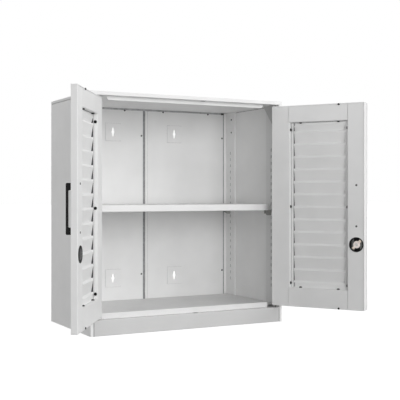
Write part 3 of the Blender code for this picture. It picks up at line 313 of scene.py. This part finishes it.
# The material of each slot, and of the nodes that differ from their slot's, among them lighter and darker copies
# of the grey coat that paint light and shade
SLOT_MATERIALS = {
    "powder_coat": PAINT,
    "black_plastic": BLACK,
    "zinc": ZINC,
    "spring_steel": SPRING_STEEL,
}
NODE_MATERIALS = {
    "plinth_front": SHADED_PLINTH_PAINT,
    "plinth_back": SHADED_PLINTH_PAINT,
    "left_back_panel": LIT_BACK_PAINT,
    "right_back_panel": LIT_BACK_PAINT,
    "left_side_panel": LIT_INSIDE_PAINT,
    "right_side_panel": LIT_INSIDE_PAINT,
    "upper_left_hanging_plate": LIT_BACK_PAINT,
    "upper_right_hanging_plate": LIT_BACK_PAINT,
    "lower_left_hanging_plate": LIT_BACK_PAINT,
    "lower_right_hanging_plate": LIT_BACK_PAINT,
    "rear_left_upright": LIT_INSIDE_PAINT,
    "rear_right_upright": LIT_INSIDE_PAINT,
    "ceiling_panel": LIT_INSIDE_PAINT,
    "floor_panel": SHADED_FLOOR_PAINT,
    "left_corner_bracket": SHADED_BRACKET_PAINT,
    "right_corner_bracket": SHADED_BRACKET_PAINT,
    # Painted shade: the strip in the back's seam is dark for the shade in its groove
    "back_joint_strip": JOINT_SHADE,
    "lock_housing": SCREW_BLACK,
    "upper_left_hinge_pin": ROD_STEEL,
    "upper_right_hinge_pin": ROD_STEEL,
    "lower_left_hinge_pin": ROD_STEEL,
    "lower_right_hinge_pin": ROD_STEEL,
    "upper_rod": ROD_STEEL,
    "lower_rod": ROD_STEEL,
    "lock_cam": BRASS,
    "cam_nut": NICKEL,
    "left_louvre_panel": PRESSED_PAINT,
    "right_louvre_panel": PRESSED_PAINT,
}

# Widths of the edges that are softened on the pressed panels and the handles
PANEL_SOFTNESS = 0.0009
HANDLE_SOFTNESS = 0.0012
SOFT_STEPS = 3
SOFT_ANGLE = math.radians(25)


def soften(node, width):
    """Rounds a node's sharp edges with a modifier, which leaves its mesh as it is."""
    rounding = node.modifiers.new("Soft edges", "BEVEL")
    rounding.width = width
    rounding.segments = SOFT_STEPS
    rounding.limit_method = "ANGLE"
    rounding.angle_limit = SOFT_ANGLE
    rounding.harden_normals = False
    rounding.use_clamp_overlap = True


def dress_nodes():
    """Every carried-over node gets its material, and the pressed panels and handles soft edges."""
    slots = {part["node"]: part["material_slot"] for part in frame["record"]["subparts"]}
    for name, node in frame["nodes"].items():
        material = NODE_MATERIALS.get(name, SLOT_MATERIALS[slots[name]])
        node.data.materials.clear()
        node.data.materials.append(material)
    for side in SIDE_NAMES.values():
        soften(frame["nodes"][f"{side}_louvre_panel"], PANEL_SOFTNESS)
        soften(frame["nodes"][f"{side}_handle"], HANDLE_SOFTNESS)


# Placing


def in_cabinet(x, depth, level):
    """A point from the cabinet's middle, its front and its underside."""
    return Vector((x, FRONT + depth, UNDERSIDE + level))


def door_matrix(side):
    """Carries closed-door places, with X inward from the cabinet's side, to the open door."""
    pivot = Vector((side * PIVOT.x, PIVOT.y, 0))
    closed = Matrix.Translation((side * HALF_WIDTH, FRONT, UNDERSIDE))
    turn = Matrix.Rotation(side * DOOR_OPEN, 4, "Z")
    return Matrix.Translation(pivot) @ turn @ Matrix.Translation(-pivot) @ closed


def on_door(side, inward, depth, level):
    """A point on the open door."""
    return door_matrix(side) @ Vector((-side * inward, depth, level))


def door_direction(side, inward, depth, level):
    """A direction on the open door."""
    return door_matrix(side).to_3x3() @ Vector((-side * inward, depth, level))


def facing(place, direction):
    """A frame at the place whose Z looks along the direction."""
    turn = direction.to_track_quat("Z", "Y").to_matrix().to_4x4()
    return Matrix.Translation(place) @ turn


# Making meshes and pieces

WELD_DISTANCE = 1e-6
SHARP_ANGLE = math.radians(40)
WHOLE_TURN = (0.0, 2 * math.pi)
TURN_STEPS = 40
BEAD_STEPS = 6


def mesh_of(name, shape):
    """The bmesh as a mesh. It ends the bmesh."""
    mesh = bpy.data.meshes.new(name)
    shape.to_mesh(mesh)
    shape.free()
    return mesh


def shade(mesh):
    """Smooth shading, except over sharp edges."""
    mesh.shade_smooth()
    mesh.set_sharp_from_angle(angle=SHARP_ANGLE)


def linked(name, content):
    """A new object of the scene, of a mesh, a lamp or a camera."""
    thing = bpy.data.objects.new(name, content)
    bpy.context.scene.collection.objects.link(thing)
    return thing


def add_piece(name, mesh, material, body):
    """A piece of the scene from the mesh, riding on the body."""
    mesh.materials.append(material)
    piece = linked(name, mesh)
    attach(piece, body)


def add_shape(name, shape, material, body):
    """A piece from the bmesh, its points welded and its faces turned outward."""
    bmesh.ops.remove_doubles(shape, verts=shape.verts, dist=WELD_DISTANCE)
    bmesh.ops.recalc_face_normals(shape, faces=shape.faces)
    mesh = mesh_of(name, shape)
    shade(mesh)
    add_piece(name, mesh, material, body)


def skinned(shape, rings, closed=False):
    """Faces between rings of points, which all have the same count, with caps unless closed."""
    rows = [[shape.verts.new(spot) for spot in ring] for ring in rings]
    pairs = list(zip(rows, rows[1:]))
    if closed:
        pairs.append((rows[-1], rows[0]))
    for first, second in pairs:
        for index, corner in enumerate(first):
            after = (index + 1) % len(first)
            shape.faces.new((corner, first[after], second[after], second[index]))
    if not closed:
        shape.faces.new(rows[0])
        shape.faces.new(rows[-1])


def bead(shape, start, end, across, out, width, rise):
    """A half-round bead from start to end, its flat side on the plane through both."""
    section = []
    for step in range(BEAD_STEPS + 1):
        angle = math.pi * step / BEAD_STEPS
        section.append(across * math.cos(angle) * width / 2 + out * math.sin(angle) * rise)
    skinned(shape, [[spot + offset for offset in section] for spot in (start, end)])


def turned(shape, profile, matrix, reach=WHOLE_TURN, steps=TURN_STEPS):
    """A closed profile of (radius, height) pairs swept about the matrix's Z axis."""
    whole = reach == WHOLE_TURN
    first, last = reach
    rings = []
    for step in range(steps if whole else steps + 1):
        angle = first + (last - first) * step / steps
        around = Vector((math.cos(angle), math.sin(angle), 0))
        ring = [matrix @ (around * radius + Vector((0, 0, height))) for radius, height in profile]
        rings.append(ring)
    skinned(shape, rings, closed=whole)


# Screw heads: radius, height and depth of the crossed recess

PANEL_HEAD = (0.0052, 0.0042, 0.0010)
HANDLE_HEAD = (0.0036, 0.0016, 0.0009)
CARCASS_HEAD = (0.0034, 0.0020, 0.0008)
CAM_HEAD = (0.0050, 0.0012, 0.0007)

# Shares of a head's radius and height, and of its radius for the arms of the recess
HEAD_TAPER = 0.98
HEAD_SHOULDER = 0.35
RECESS_LENGTH = 1.1
RECESS_WIDTH = 0.28
HEAD_STEPS = 6
HEAD_SIDES = 24


def screw_head(radius, height, recess):
    """A pan head with a crossed recess, its face towards +Z and its seat at the origin."""
    shape = bmesh.new()
    profile = [(radius, 0.0)]
    for step in range(HEAD_STEPS + 1):
        angle = math.pi / 2 * step / HEAD_STEPS
        across = radius * math.cos(angle) * HEAD_TAPER
        up = height * (HEAD_SHOULDER + (1 - HEAD_SHOULDER) * math.sin(angle))
        profile.append((across, up))
    spots = [shape.verts.new((x, 0.0, z)) for x, z in profile]
    outline = [shape.edges.new(pair) for pair in zip(spots, spots[1:])]
    bmesh.ops.spin(
        shape,
        geom=spots + outline,
        cent=(0, 0, 0),
        axis=(0, 0, 1),
        dvec=(0, 0, 0),
        angle=2 * math.pi,
        steps=HEAD_SIDES,
        use_merge=True,
    )
    bmesh.ops.remove_doubles(shape, verts=shape.verts, dist=WELD_DISTANCE)
    bmesh.ops.holes_fill(shape, edges=[edge for edge in shape.edges if edge.is_boundary])
    bmesh.ops.recalc_face_normals(shape, faces=shape.faces)
    body = linked("screw_head", mesh_of("screw_head", shape))
    cutters = [recess_bar(radius, height, recess, turn) for turn in (0.0, math.pi / 2)]
    for cutter in cutters:
        cut = body.modifiers.new("Recess", "BOOLEAN")
        cut.operation = "DIFFERENCE"
        cut.object = cutter
    graph = bpy.context.evaluated_depsgraph_get()
    finished = bpy.data.meshes.new_from_object(body.evaluated_get(graph))
    shade(finished)
    for helper in [body, *cutters]:
        bpy.data.objects.remove(helper, do_unlink=True)
    return finished


def recess_bar(radius, height, recess, turn):
    """One arm of the crossed recess, as a cutter that reaches as far above the head's top."""
    shape = bmesh.new()
    size = (radius * RECESS_LENGTH, radius * RECESS_WIDTH, recess * 2)
    bmesh.ops.create_cube(shape, size=1.0)
    bmesh.ops.scale(shape, verts=shape.verts, vec=size)
    bmesh.ops.rotate(shape, verts=shape.verts, matrix=Matrix.Rotation(turn, 3, "Z"))
    bmesh.ops.translate(shape, verts=shape.verts, vec=(0, 0, height))
    return linked("recess_bar", mesh_of("recess_bar", shape))


def add_screws(name, head, places, material, body):
    """One piece made of all the screws of a group. Each place is a (point, direction) pair."""
    shape = bmesh.new()
    for place, direction in places:
        copy = head.copy()
        copy.transform(facing(place, direction))
        shape.from_mesh(copy)
        bpy.data.meshes.remove(copy)
    add_piece(name, mesh_of(name, shape), material, body)


# Screws of the doors

REVEAL_SCREW_LEVELS = (0.145, 0.4185, 0.694)
REVEAL_SCREW_INWARD = (0.1245, 0.2655)
REVEAL_SCREW_DEPTH = 0.0135
WINDOW_INWARD = (0.0858, 0.3002)
WINDOW_LEVELS = (0.1296, 0.7192)
HANDLE_INWARD = 0.3335
HANDLE_LEVEL = 0.4234
HANDLE_SCREW_REACH = 0.071
COVER_BACK = 0.0202


def add_panel_screws(side, head):
    """The screws in the reveal round the louvred panel."""
    places = []
    for level in REVEAL_SCREW_LEVELS:
        for inward, towards in zip(WINDOW_INWARD, (1, -1)):
            spot = on_door(side, inward, REVEAL_SCREW_DEPTH, level)
            places.append((spot, door_direction(side, towards, 0, 0)))
    for inward in REVEAL_SCREW_INWARD:
        for level, towards in zip(WINDOW_LEVELS, (1, -1)):
            spot = on_door(side, inward, REVEAL_SCREW_DEPTH, level)
            places.append((spot, door_direction(side, 0, 0, towards)))
    name = f"{SIDE_NAMES[side]}_panel_screws"
    add_screws(name, head, places, BLACK, f"{SIDE_NAMES[side]}_door")


def add_handle_screws(side, head):
    """The two screws that hold the handle from the door's inner face."""
    places = []
    for way in (-1, 1):
        level = HANDLE_LEVEL + way * HANDLE_SCREW_REACH
        spot = on_door(side, HANDLE_INWARD, COVER_BACK, level)
        places.append((spot, door_direction(side, 0, 1, 0)))
    name = f"{SIDE_NAMES[side]}_handle_screws"
    add_screws(name, head, places, DARK_SCREW, f"{SIDE_NAMES[side]}_door")


# Screws of the carcass

BACK_FACE = 0.396
SEAM_SCREW_ACROSS = -0.0112
SEAM_SCREW_LEVELS = (0.157, 0.687)
CORNER_SCREW_ACROSS = 0.344
CEILING_SCREW_ACROSS = (0.081, 0.279)
CEILING_SCREW_LEVEL = 0.781
UPRIGHT_FACE = 0.007
UPRIGHT_SCREW_DEPTH = 0.353
UPRIGHT_SCREW_LEVELS = (0.709, 0.760)


def add_carcass_screws(head):
    """The screws of the back's seam and corners, of its top edge and of the rear uprights."""
    places = []
    for across in (-CORNER_SCREW_ACROSS, SEAM_SCREW_ACROSS, CORNER_SCREW_ACROSS):
        for level in SEAM_SCREW_LEVELS:
            places.append((in_cabinet(across, BACK_FACE, level), TO_FRONT))
    for side in SIDES:
        for across in CEILING_SCREW_ACROSS:
            places.append((in_cabinet(side * across, BACK_FACE, CEILING_SCREW_LEVEL), TO_FRONT))
    add_screws("back_screws", head, places, DARK_SCREW, "cabinet")
    places = []
    for side in SIDES:
        for level in UPRIGHT_SCREW_LEVELS:
            across = side * (HALF_WIDTH - UPRIGHT_FACE)
            spot = in_cabinet(across, UPRIGHT_SCREW_DEPTH, level)
            places.append((spot, Vector((-side, 0, 0))))
    add_screws("upright_screws", head, places, DARK_SCREW, "cabinet")


# Painted shade in the joints and gaps of the carcass

# A rise is how far a bead stands up, and a reach is a distance from the cabinet's middle
FLOOR_TOP = 0.0615
SHADE_LINE_LEVEL = 0.7852
SHADE_LINE_REACH = 0.350
SHADE_LINE_WIDTH = 0.0062
SHADE_LINE_RISE = 0.0008
GAP_RISE = 0.0005
UPRIGHT_REAR_EDGE = 0.0195
CORNER_SHADE_WIDTH = 0.003
SIDE_INNER = 0.0010
# Depth and level of both ends
CEILING_GAP_ENDS = ((0.090, 0.7868), (0.392, 0.7868))
CEILING_GAP_WIDTH = 0.003
BACK_FOLD_ACROSS = 0.0138
BACK_FOLD_WIDTH = 0.0007
CORNER_GAP_REACH = (0.338, 0.352)
# Depth and level
CORNER_GAP_PLACE = (0.3950, 0.7846)
CORNER_GAP_WIDTH = 0.007
JOINT_OUTWARD = 0.0003
JOINT_WIDTH = 0.0018
# Place across, level, and the way that the slot's rim faces: up is 1, down is -1
STRIKE_PLACES = ((0.0519, 0.7873, -1), (0.0211, 0.0521, 1))
STRIKE_DEPTHS = (0.0088, 0.0172)
STRIKE_LENGTH = 0.018
STRIKE_WIDTH = 0.0036
PLATE_JOINT = 0.0005
# Depths of the rows of slots
SLOT_LINES = (0.0615, 0.3622)
SLOT_SHADE_INWARD = 0.0048
SLOT_SHADE_LEVELS = (0.118, 0.635)
SLOT_SHADE_WIDTH = 0.009
SLOT_SHADE_RISE = 0.0008


def add_joint_shade_lines():
    """Painted shade: dark lines in the joints along the back's upper edge, its corners, the ceiling's sides and
    the back's fold.
    """
    shape = bmesh.new()
    ends = [in_cabinet(side * SHADE_LINE_REACH, BACK_FACE, SHADE_LINE_LEVEL) for side in SIDES]
    bead(shape, *ends, UP, TO_FRONT, SHADE_LINE_WIDTH, SHADE_LINE_RISE)
    add_shape("back_top_shade_line", shape, TOP_LINE_SHADE, "cabinet")

    shape = bmesh.new()
    for side in SIDES:
        across = side * (HALF_WIDTH - UPRIGHT_REAR_EDGE)
        ends = [in_cabinet(across, BACK_FACE, level) for level in (FLOOR_TOP, SHADE_LINE_LEVEL)]
        bead(shape, *ends, TO_RIGHT, TO_FRONT, CORNER_SHADE_WIDTH, SHADE_LINE_RISE)
        ends = [in_cabinet(side * (HALF_WIDTH - SIDE_INNER), *spot) for spot in CEILING_GAP_ENDS]
        bead(shape, *ends, UP, Vector((-side, 0, 0)), CEILING_GAP_WIDTH, GAP_RISE)
    ends = [in_cabinet(BACK_FOLD_ACROSS, BACK_FACE, level) for level in (FLOOR_TOP, SHADE_LINE_LEVEL)]
    bead(shape, *ends, TO_RIGHT, TO_FRONT, BACK_FOLD_WIDTH, GAP_RISE)
    add_shape("back_shade_lines", shape, JOINT_SHADE, "cabinet")


def add_corner_shade():
    """Painted shade: dark lines in the gaps above the rear uprights and in the joints beside the front plinth."""
    shape = bmesh.new()
    low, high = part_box("plinth_front")
    for side in SIDES:
        ends = [in_cabinet(side * reach, *CORNER_GAP_PLACE) for reach in CORNER_GAP_REACH]
        bead(shape, *ends, UP, TO_FRONT, CORNER_GAP_WIDTH, SHADE_LINE_RISE)
        across = side * (high.x + JOINT_OUTWARD)
        ends = [Vector((across, low.y, level)) for level in (low.z, high.z)]
        bead(shape, *ends, TO_RIGHT, TO_FRONT, JOINT_WIDTH, GAP_RISE)
    add_shape("corner_gap_shade", shape, GAP_SHADE, "cabinet")


def add_strike_shade():
    """Painted shade: dark rims before and behind the two slots that the lock's rods enter."""
    shape = bmesh.new()
    for across, level, out in STRIKE_PLACES:
        for depth in STRIKE_DEPTHS:
            half = STRIKE_LENGTH / 2
            ends = [in_cabinet(across + way * half, depth, level) for way in (-1, 1)]
            bead(shape, *ends, TO_WALL, Vector((0, 0, out)), STRIKE_WIDTH, GAP_RISE)
    add_shape("strike_slot_shade", shape, GAP_SHADE, "cabinet")


def add_plate_joint_shade():
    """Painted shade: a fine dark line in the joint round each hanging plate on the back."""
    shape = bmesh.new()
    half = PLATE_JOINT / 2
    for level in ("upper", "lower"):
        for side in SIDE_NAMES.values():
            low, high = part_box(f"{level}_{side}_hanging_plate")
            left, right = low.x - half, high.x + half
            bottom, top = low.z - half, high.z + half
            outline = ((left, bottom), (right, bottom), (right, top), (left, top))
            corners = [Vector((x, FRONT + BACK_FACE, z)) for x, z in outline]
            for first, second in zip(corners, corners[1:] + corners[:1]):
                across = (second - first).normalized().cross(TO_FRONT)
                bead(shape, first, second, across, TO_FRONT, PLATE_JOINT, GAP_RISE)
    add_shape("plate_shade_lines", shape, JOINT_SHADE, "cabinet")


def add_slot_shade_strips():
    """Painted shade: a dark strip behind each upright's row of slots, for the shade inside the hollow upright, so
    that they read as open.
    """
    shape = bmesh.new()
    for side in SIDES:
        across = side * (HALF_WIDTH - SLOT_SHADE_INWARD)
        for depth in SLOT_LINES:
            ends = [in_cabinet(across, depth, level) for level in SLOT_SHADE_LEVELS]
            bead(shape, *ends, TO_WALL, Vector((-side, 0, 0)), SLOT_SHADE_WIDTH, SLOT_SHADE_RISE)
    add_shape("slot_painted_shade", shape, GAP_SHADE, "cabinet")


# Louvred panels: the slits are placed as the panel's press leaves its slats

PANEL_BACK = 0.0088
PANEL_RIM = 0.0104
LOUVRE_COUNT = 13
LOUVRE_FIRST = 0.0332
LOUVRE_LAST = 0.020
LOUVRE_BAND = 0.007
LOUVRE_ENDS = (0.0969, 0.2891)
SLAT_BACK = 0.0084
SLAT_FRONT = 0.0024
SLIT_MARGIN = 0.002
SLIT_THICKNESS = 0.0004
RIM_SLIT_INWARD = 0.0996
RIM_SLIT_END = 0.002
RIM_SLIT_WIDTH = 0.0022
RIM_SLIT_RISE = 0.0003
EDGE_SHADE_WIDTH = 0.0012
EDGE_SHADE_RISE = 0.0005
FOLD_LINE_INWARD = 0.0962
FOLD_LINE_WIDTH = 0.0012
FOLD_LINE_RISE = 0.0003


def add_louvre_slit_shade(side):
    """Painted shade: dark sheets in the slits at both ends of each slat, and dark lines that run on from them to
    the panel's top and bottom.
    """
    shape = bmesh.new()
    low_edge, high_edge = WINDOW_LEVELS
    field_top = high_edge - PANEL_RIM
    first, last = high_edge - LOUVRE_FIRST, low_edge + LOUVRE_LAST
    top = field_top
    for index in range(LOUVRE_COUNT):
        centre = first + (last - first) * index / (LOUVRE_COUNT - 1)
        low = centre + LOUVRE_BAND / 2
        corners = [(SLAT_BACK, top - SLIT_MARGIN), (SLAT_FRONT, low), (SLAT_BACK, low)]
        for inward, way in zip(LOUVRE_ENDS, (1, -1)):
            rings = []
            for inset in (0.0, SLIT_THICKNESS):
                rings.append([on_door(side, inward + way * inset, *corner) for corner in corners])
            skinned(shape, rings)
        top = centre - LOUVRE_BAND / 2
    across, out = door_direction(side, 1, 0, 0), door_direction(side, 0, 1, 0)
    bottom_run = (low_edge + RIM_SLIT_END, top)
    top_run = (field_top, high_edge - RIM_SLIT_END)
    for levels in (bottom_run, top_run):
        ends = [on_door(side, RIM_SLIT_INWARD, PANEL_BACK, level) for level in levels]
        bead(shape, *ends, across, out, RIM_SLIT_WIDTH, RIM_SLIT_RISE)
    name = f"{SIDE_NAMES[side]}_louvre_slit_painted_shade"
    add_shape(name, shape, GAP_SHADE, f"{SIDE_NAMES[side]}_door")


def add_panel_shade_lines(side):
    """Painted shade: dark lines where the panel meets its reveal at the hinge side and top, and along the fold
    line beside its slats.
    """
    shape = bmesh.new()
    out = door_direction(side, 0, 1, 0)
    ends = [on_door(side, FOLD_LINE_INWARD, PANEL_BACK, level) for level in WINDOW_LEVELS]
    bead(shape, *ends, door_direction(side, 1, 0, 0), out, FOLD_LINE_WIDTH, FOLD_LINE_RISE)
    half = EDGE_SHADE_WIDTH / 2
    left, right = WINDOW_INWARD[0] + half, WINDOW_INWARD[1] - half
    low, high = WINDOW_LEVELS[0] + half, WINDOW_LEVELS[1] - half
    outline = ((left, low), (left, high), (right, high))
    corners = [on_door(side, inward, PANEL_BACK, level) for inward, level in outline]
    for start, end in zip(corners, corners[1:]):
        across = (end - start).normalized().cross(out)
        bead(shape, start, end, across, out, EDGE_SHADE_WIDTH, EDGE_SHADE_RISE)
    name = f"{SIDE_NAMES[side]}_panel_edge_shade"
    add_shape(name, shape, PANEL_EDGE_SHADE, f"{SIDE_NAMES[side]}_door")


# Lock of the right door and hole cap of the left one

LOCK_LEVEL = 0.289
WELL_DEPTHS = (0.0045, 0.0185)
WELL_HOLE = 0.0108
WELL_RADIUS = 0.0244
WELL_SHEET = 0.0005
WELL_WALL_HALF = math.radians(28)
WELL_WALL_STEPS = 12
NECK_RADIUS = 0.0041
WASHER_RADIUS = 0.0125
WASHER_CHAMFER = 0.0006
WASHER_DEPTHS = (0.01705, 0.01728)
PLUG_END = 0.02045
CAP_FACE = 0.0212
DOME_RADIUS = 0.0165
DOME_RISE = 0.0016
DOME_EYE = 0.0003
DOME_STEPS = 8


def hole_axis(side, depth):
    """A frame in the middle of the lock stile's round hole, its Z towards the inside."""
    return facing(on_door(side, HANDLE_INWARD, depth, LOCK_LEVEL), door_direction(side, 0, 1, 0))


def ring_profile(inner, outer, low, high):
    """The section of a flat ring or of a short tube, as (radius, height) pairs."""
    return [(inner, low), (outer, low), (outer, high), (inner, high)]


def add_lock_well():
    """The dark plate and the two walls behind the lock, which close the hole's view."""
    axis = hole_axis(RIGHT, 0)
    shape = bmesh.new()
    low, high = WELL_DEPTHS
    turned(shape, ring_profile(WELL_HOLE, WELL_RADIUS, low, low + WELL_SHEET), axis)
    wall = ring_profile(WELL_RADIUS, WELL_RADIUS + WELL_SHEET, low, high)
    sideways = axis.to_3x3().inverted() @ door_direction(RIGHT, 1, 0, 0)
    middle = math.atan2(sideways.y, sideways.x)
    for turn in (0.0, math.pi):
        reach = (middle + turn - WELL_WALL_HALF, middle + turn + WELL_WALL_HALF)
        turned(shape, wall, axis, reach, WELL_WALL_STEPS)
    add_shape("lock_well", shape, BLACK, "right_door")


def add_cam_washer():
    """The washer under the cam's nut, with a chamfered rim."""
    low, high = WASHER_DEPTHS
    profile = [
        (NECK_RADIUS, low),
        (WASHER_RADIUS, low),
        (WASHER_RADIUS, (low + high) / 2),
        (WASHER_RADIUS - WASHER_CHAMFER, high),
        (NECK_RADIUS, high),
    ]
    shape = bmesh.new()
    turned(shape, profile, hole_axis(RIGHT, 0))
    add_shape("cam_washer", shape, NICKEL, "lock")


def add_cam_screw(head):
    """The screw in the cam's nut."""
    place = on_door(RIGHT, HANDLE_INWARD, PLUG_END, LOCK_LEVEL)
    screws = [(place, door_direction(RIGHT, 0, 1, 0))]
    add_screws("cam_screw", head, screws, SPRING_STEEL, "lock")


def add_cap_dome():
    """The shallow dome in the middle of the cap that closes the left door's round hole."""
    profile = [(DOME_RADIUS, 0.0)]
    for step in range(1, DOME_STEPS):
        angle = math.pi / 2 * step / DOME_STEPS
        profile.append((DOME_RADIUS * math.cos(angle), DOME_RISE * math.sin(angle)))
    profile += [(DOME_EYE, DOME_RISE), (DOME_EYE, 0.0)]
    shape = bmesh.new()
    turned(shape, profile, hole_axis(LEFT, CAP_FACE))
    add_shape("hole_cap_dome", shape, CAP_GREY, "left_door")


# Stage: the floor glows white as a background, less so near the cabinet, where its shadow stays

FLOOR_SIZE = 30.0
FLOOR_DROP = 0.0002
FLOOR_COLOUR = (0.18, 0.18, 0.18, 1.0)
FLOOR_ROUGHNESS = 0.9
FLOOR_GLOW = (0.9, 1.0)
FLOOR_DISTANCES = (0.7, 1.8)
WHITE = (1.0, 1.0, 1.0, 1.0)
WORLD_STRENGTH = (0.29, 1.0)

# Soft boxes: name, place, target and power
LAMP_SIZE = 2.4
LAMPS = (
    ("key", (2.6, -3.2, 2.4), (0, -0.3, 0.2), 84),
    ("front", (-0.3, -4.6, 0.5), (0, -0.3, 0), 98),
    ("left", (-4.2, 0.2, 1.4), (0, -0.3, 0), 43),
)

# The photograph's camera
CAMERA_PLACE = (-1.38146, -3.04497, 0.06622)
CAMERA_TURN = math.radians(-28.12)
CAMERA_LENS = 78.02
CAMERA_SENSOR = 36.0
CAMERA_SHIFT = -0.0168


def background_rays(tree):
    """1 for the rays that should meet a plain background: to the eye, in metal and in glass."""
    path = node_at(tree, "ShaderNodeLightPath")
    found = path.outputs["Is Camera Ray"]
    for kind in ("Is Glossy Ray", "Is Transmission Ray"):
        found = combined(tree, "MAXIMUM", found, path.outputs[kind])
    return found


def add_floor():
    """A wide pale floor. It keeps the cabinet's shadow and runs out into the white world."""
    shape = bmesh.new()
    bmesh.ops.create_grid(shape, x_segments=1, y_segments=1, size=FLOOR_SIZE)
    mesh = mesh_of("floor", shape)
    floor = linked("stage_floor", mesh)
    floor.location = (0, 0, UNDERSIDE - FLOOR_DROP)
    made, tree, shader = new_material("stage_floor")
    shader.inputs["Base Color"].default_value = FLOOR_COLOUR
    shader.inputs["Roughness"].default_value = FLOOR_ROUGHNESS
    shader.inputs["Emission Color"].default_value = WHITE
    place = node_at(tree, "ShaderNodeTexCoord")
    away = node_at(tree, "ShaderNodeVectorMath", operation="LENGTH")
    tree.links.new(place.outputs["Object"], away.inputs[0])
    glow = carried(tree, away.outputs["Value"], FLOOR_DISTANCES, FLOOR_GLOW)
    glow = combined(tree, "MULTIPLY", background_rays(tree), glow)
    tree.links.new(glow, shader.inputs["Emission Strength"])
    mesh.materials.append(made)


def add_world():
    """A white world: plain white as a background, and a dimmer fill as light."""
    world = bpy.data.worlds.new("studio")
    bpy.context.scene.world = world
    world.use_nodes = True
    tree = world.node_tree
    surround = tree.nodes["Background"]
    surround.inputs["Color"].default_value = WHITE
    strength = carried(tree, background_rays(tree), UNIT_RANGE, WORLD_STRENGTH)
    tree.links.new(strength, surround.inputs["Strength"])


def add_lamp(name, place, target, power):
    """A square soft box aimed at the target. The camera doesn't see it."""
    lamp = bpy.data.lights.new(name, "AREA")
    lamp.shape = "SQUARE"
    lamp.size = LAMP_SIZE
    lamp.energy = power
    holder = linked(name, lamp)
    holder.location = place
    holder.visible_camera = False
    aim = Vector(target) - Vector(place)
    holder.rotation_euler = aim.to_track_quat("-Z", "Y").to_euler()


def add_camera():
    """The photograph's camera: level, with a small shift that sets the frame's height."""
    lens = bpy.data.cameras.new("photograph")
    lens.lens = CAMERA_LENS
    lens.sensor_width = CAMERA_SENSOR
    lens.sensor_fit = "HORIZONTAL"
    lens.shift_y = CAMERA_SHIFT
    camera = linked("photograph", lens)
    camera.location = CAMERA_PLACE
    camera.rotation_euler = (math.pi / 2, 0, CAMERA_TURN)
    bpy.context.scene.camera = camera


def main():
    """Dresses the nodes, adds the small pieces and sets the stage."""
    bpy.context.scene.view_settings.view_transform = "Standard"
    dress_nodes()
    panel_head = screw_head(*PANEL_HEAD)
    handle_head = screw_head(*HANDLE_HEAD)
    for side in SIDES:
        add_panel_screws(side, panel_head)
        add_handle_screws(side, handle_head)
        add_louvre_slit_shade(side)
        add_panel_shade_lines(side)
    add_carcass_screws(screw_head(*CARCASS_HEAD))
    add_joint_shade_lines()
    add_corner_shade()
    add_strike_shade()
    add_plate_joint_shade()
    add_slot_shade_strips()
    cam_head = screw_head(*CAM_HEAD)
    add_lock_well()
    add_cam_washer()
    add_cam_screw(cam_head)
    add_cap_dome()
    add_floor()
    add_world()
    for lamp in LAMPS:
        add_lamp(*lamp)
    add_camera()


main()
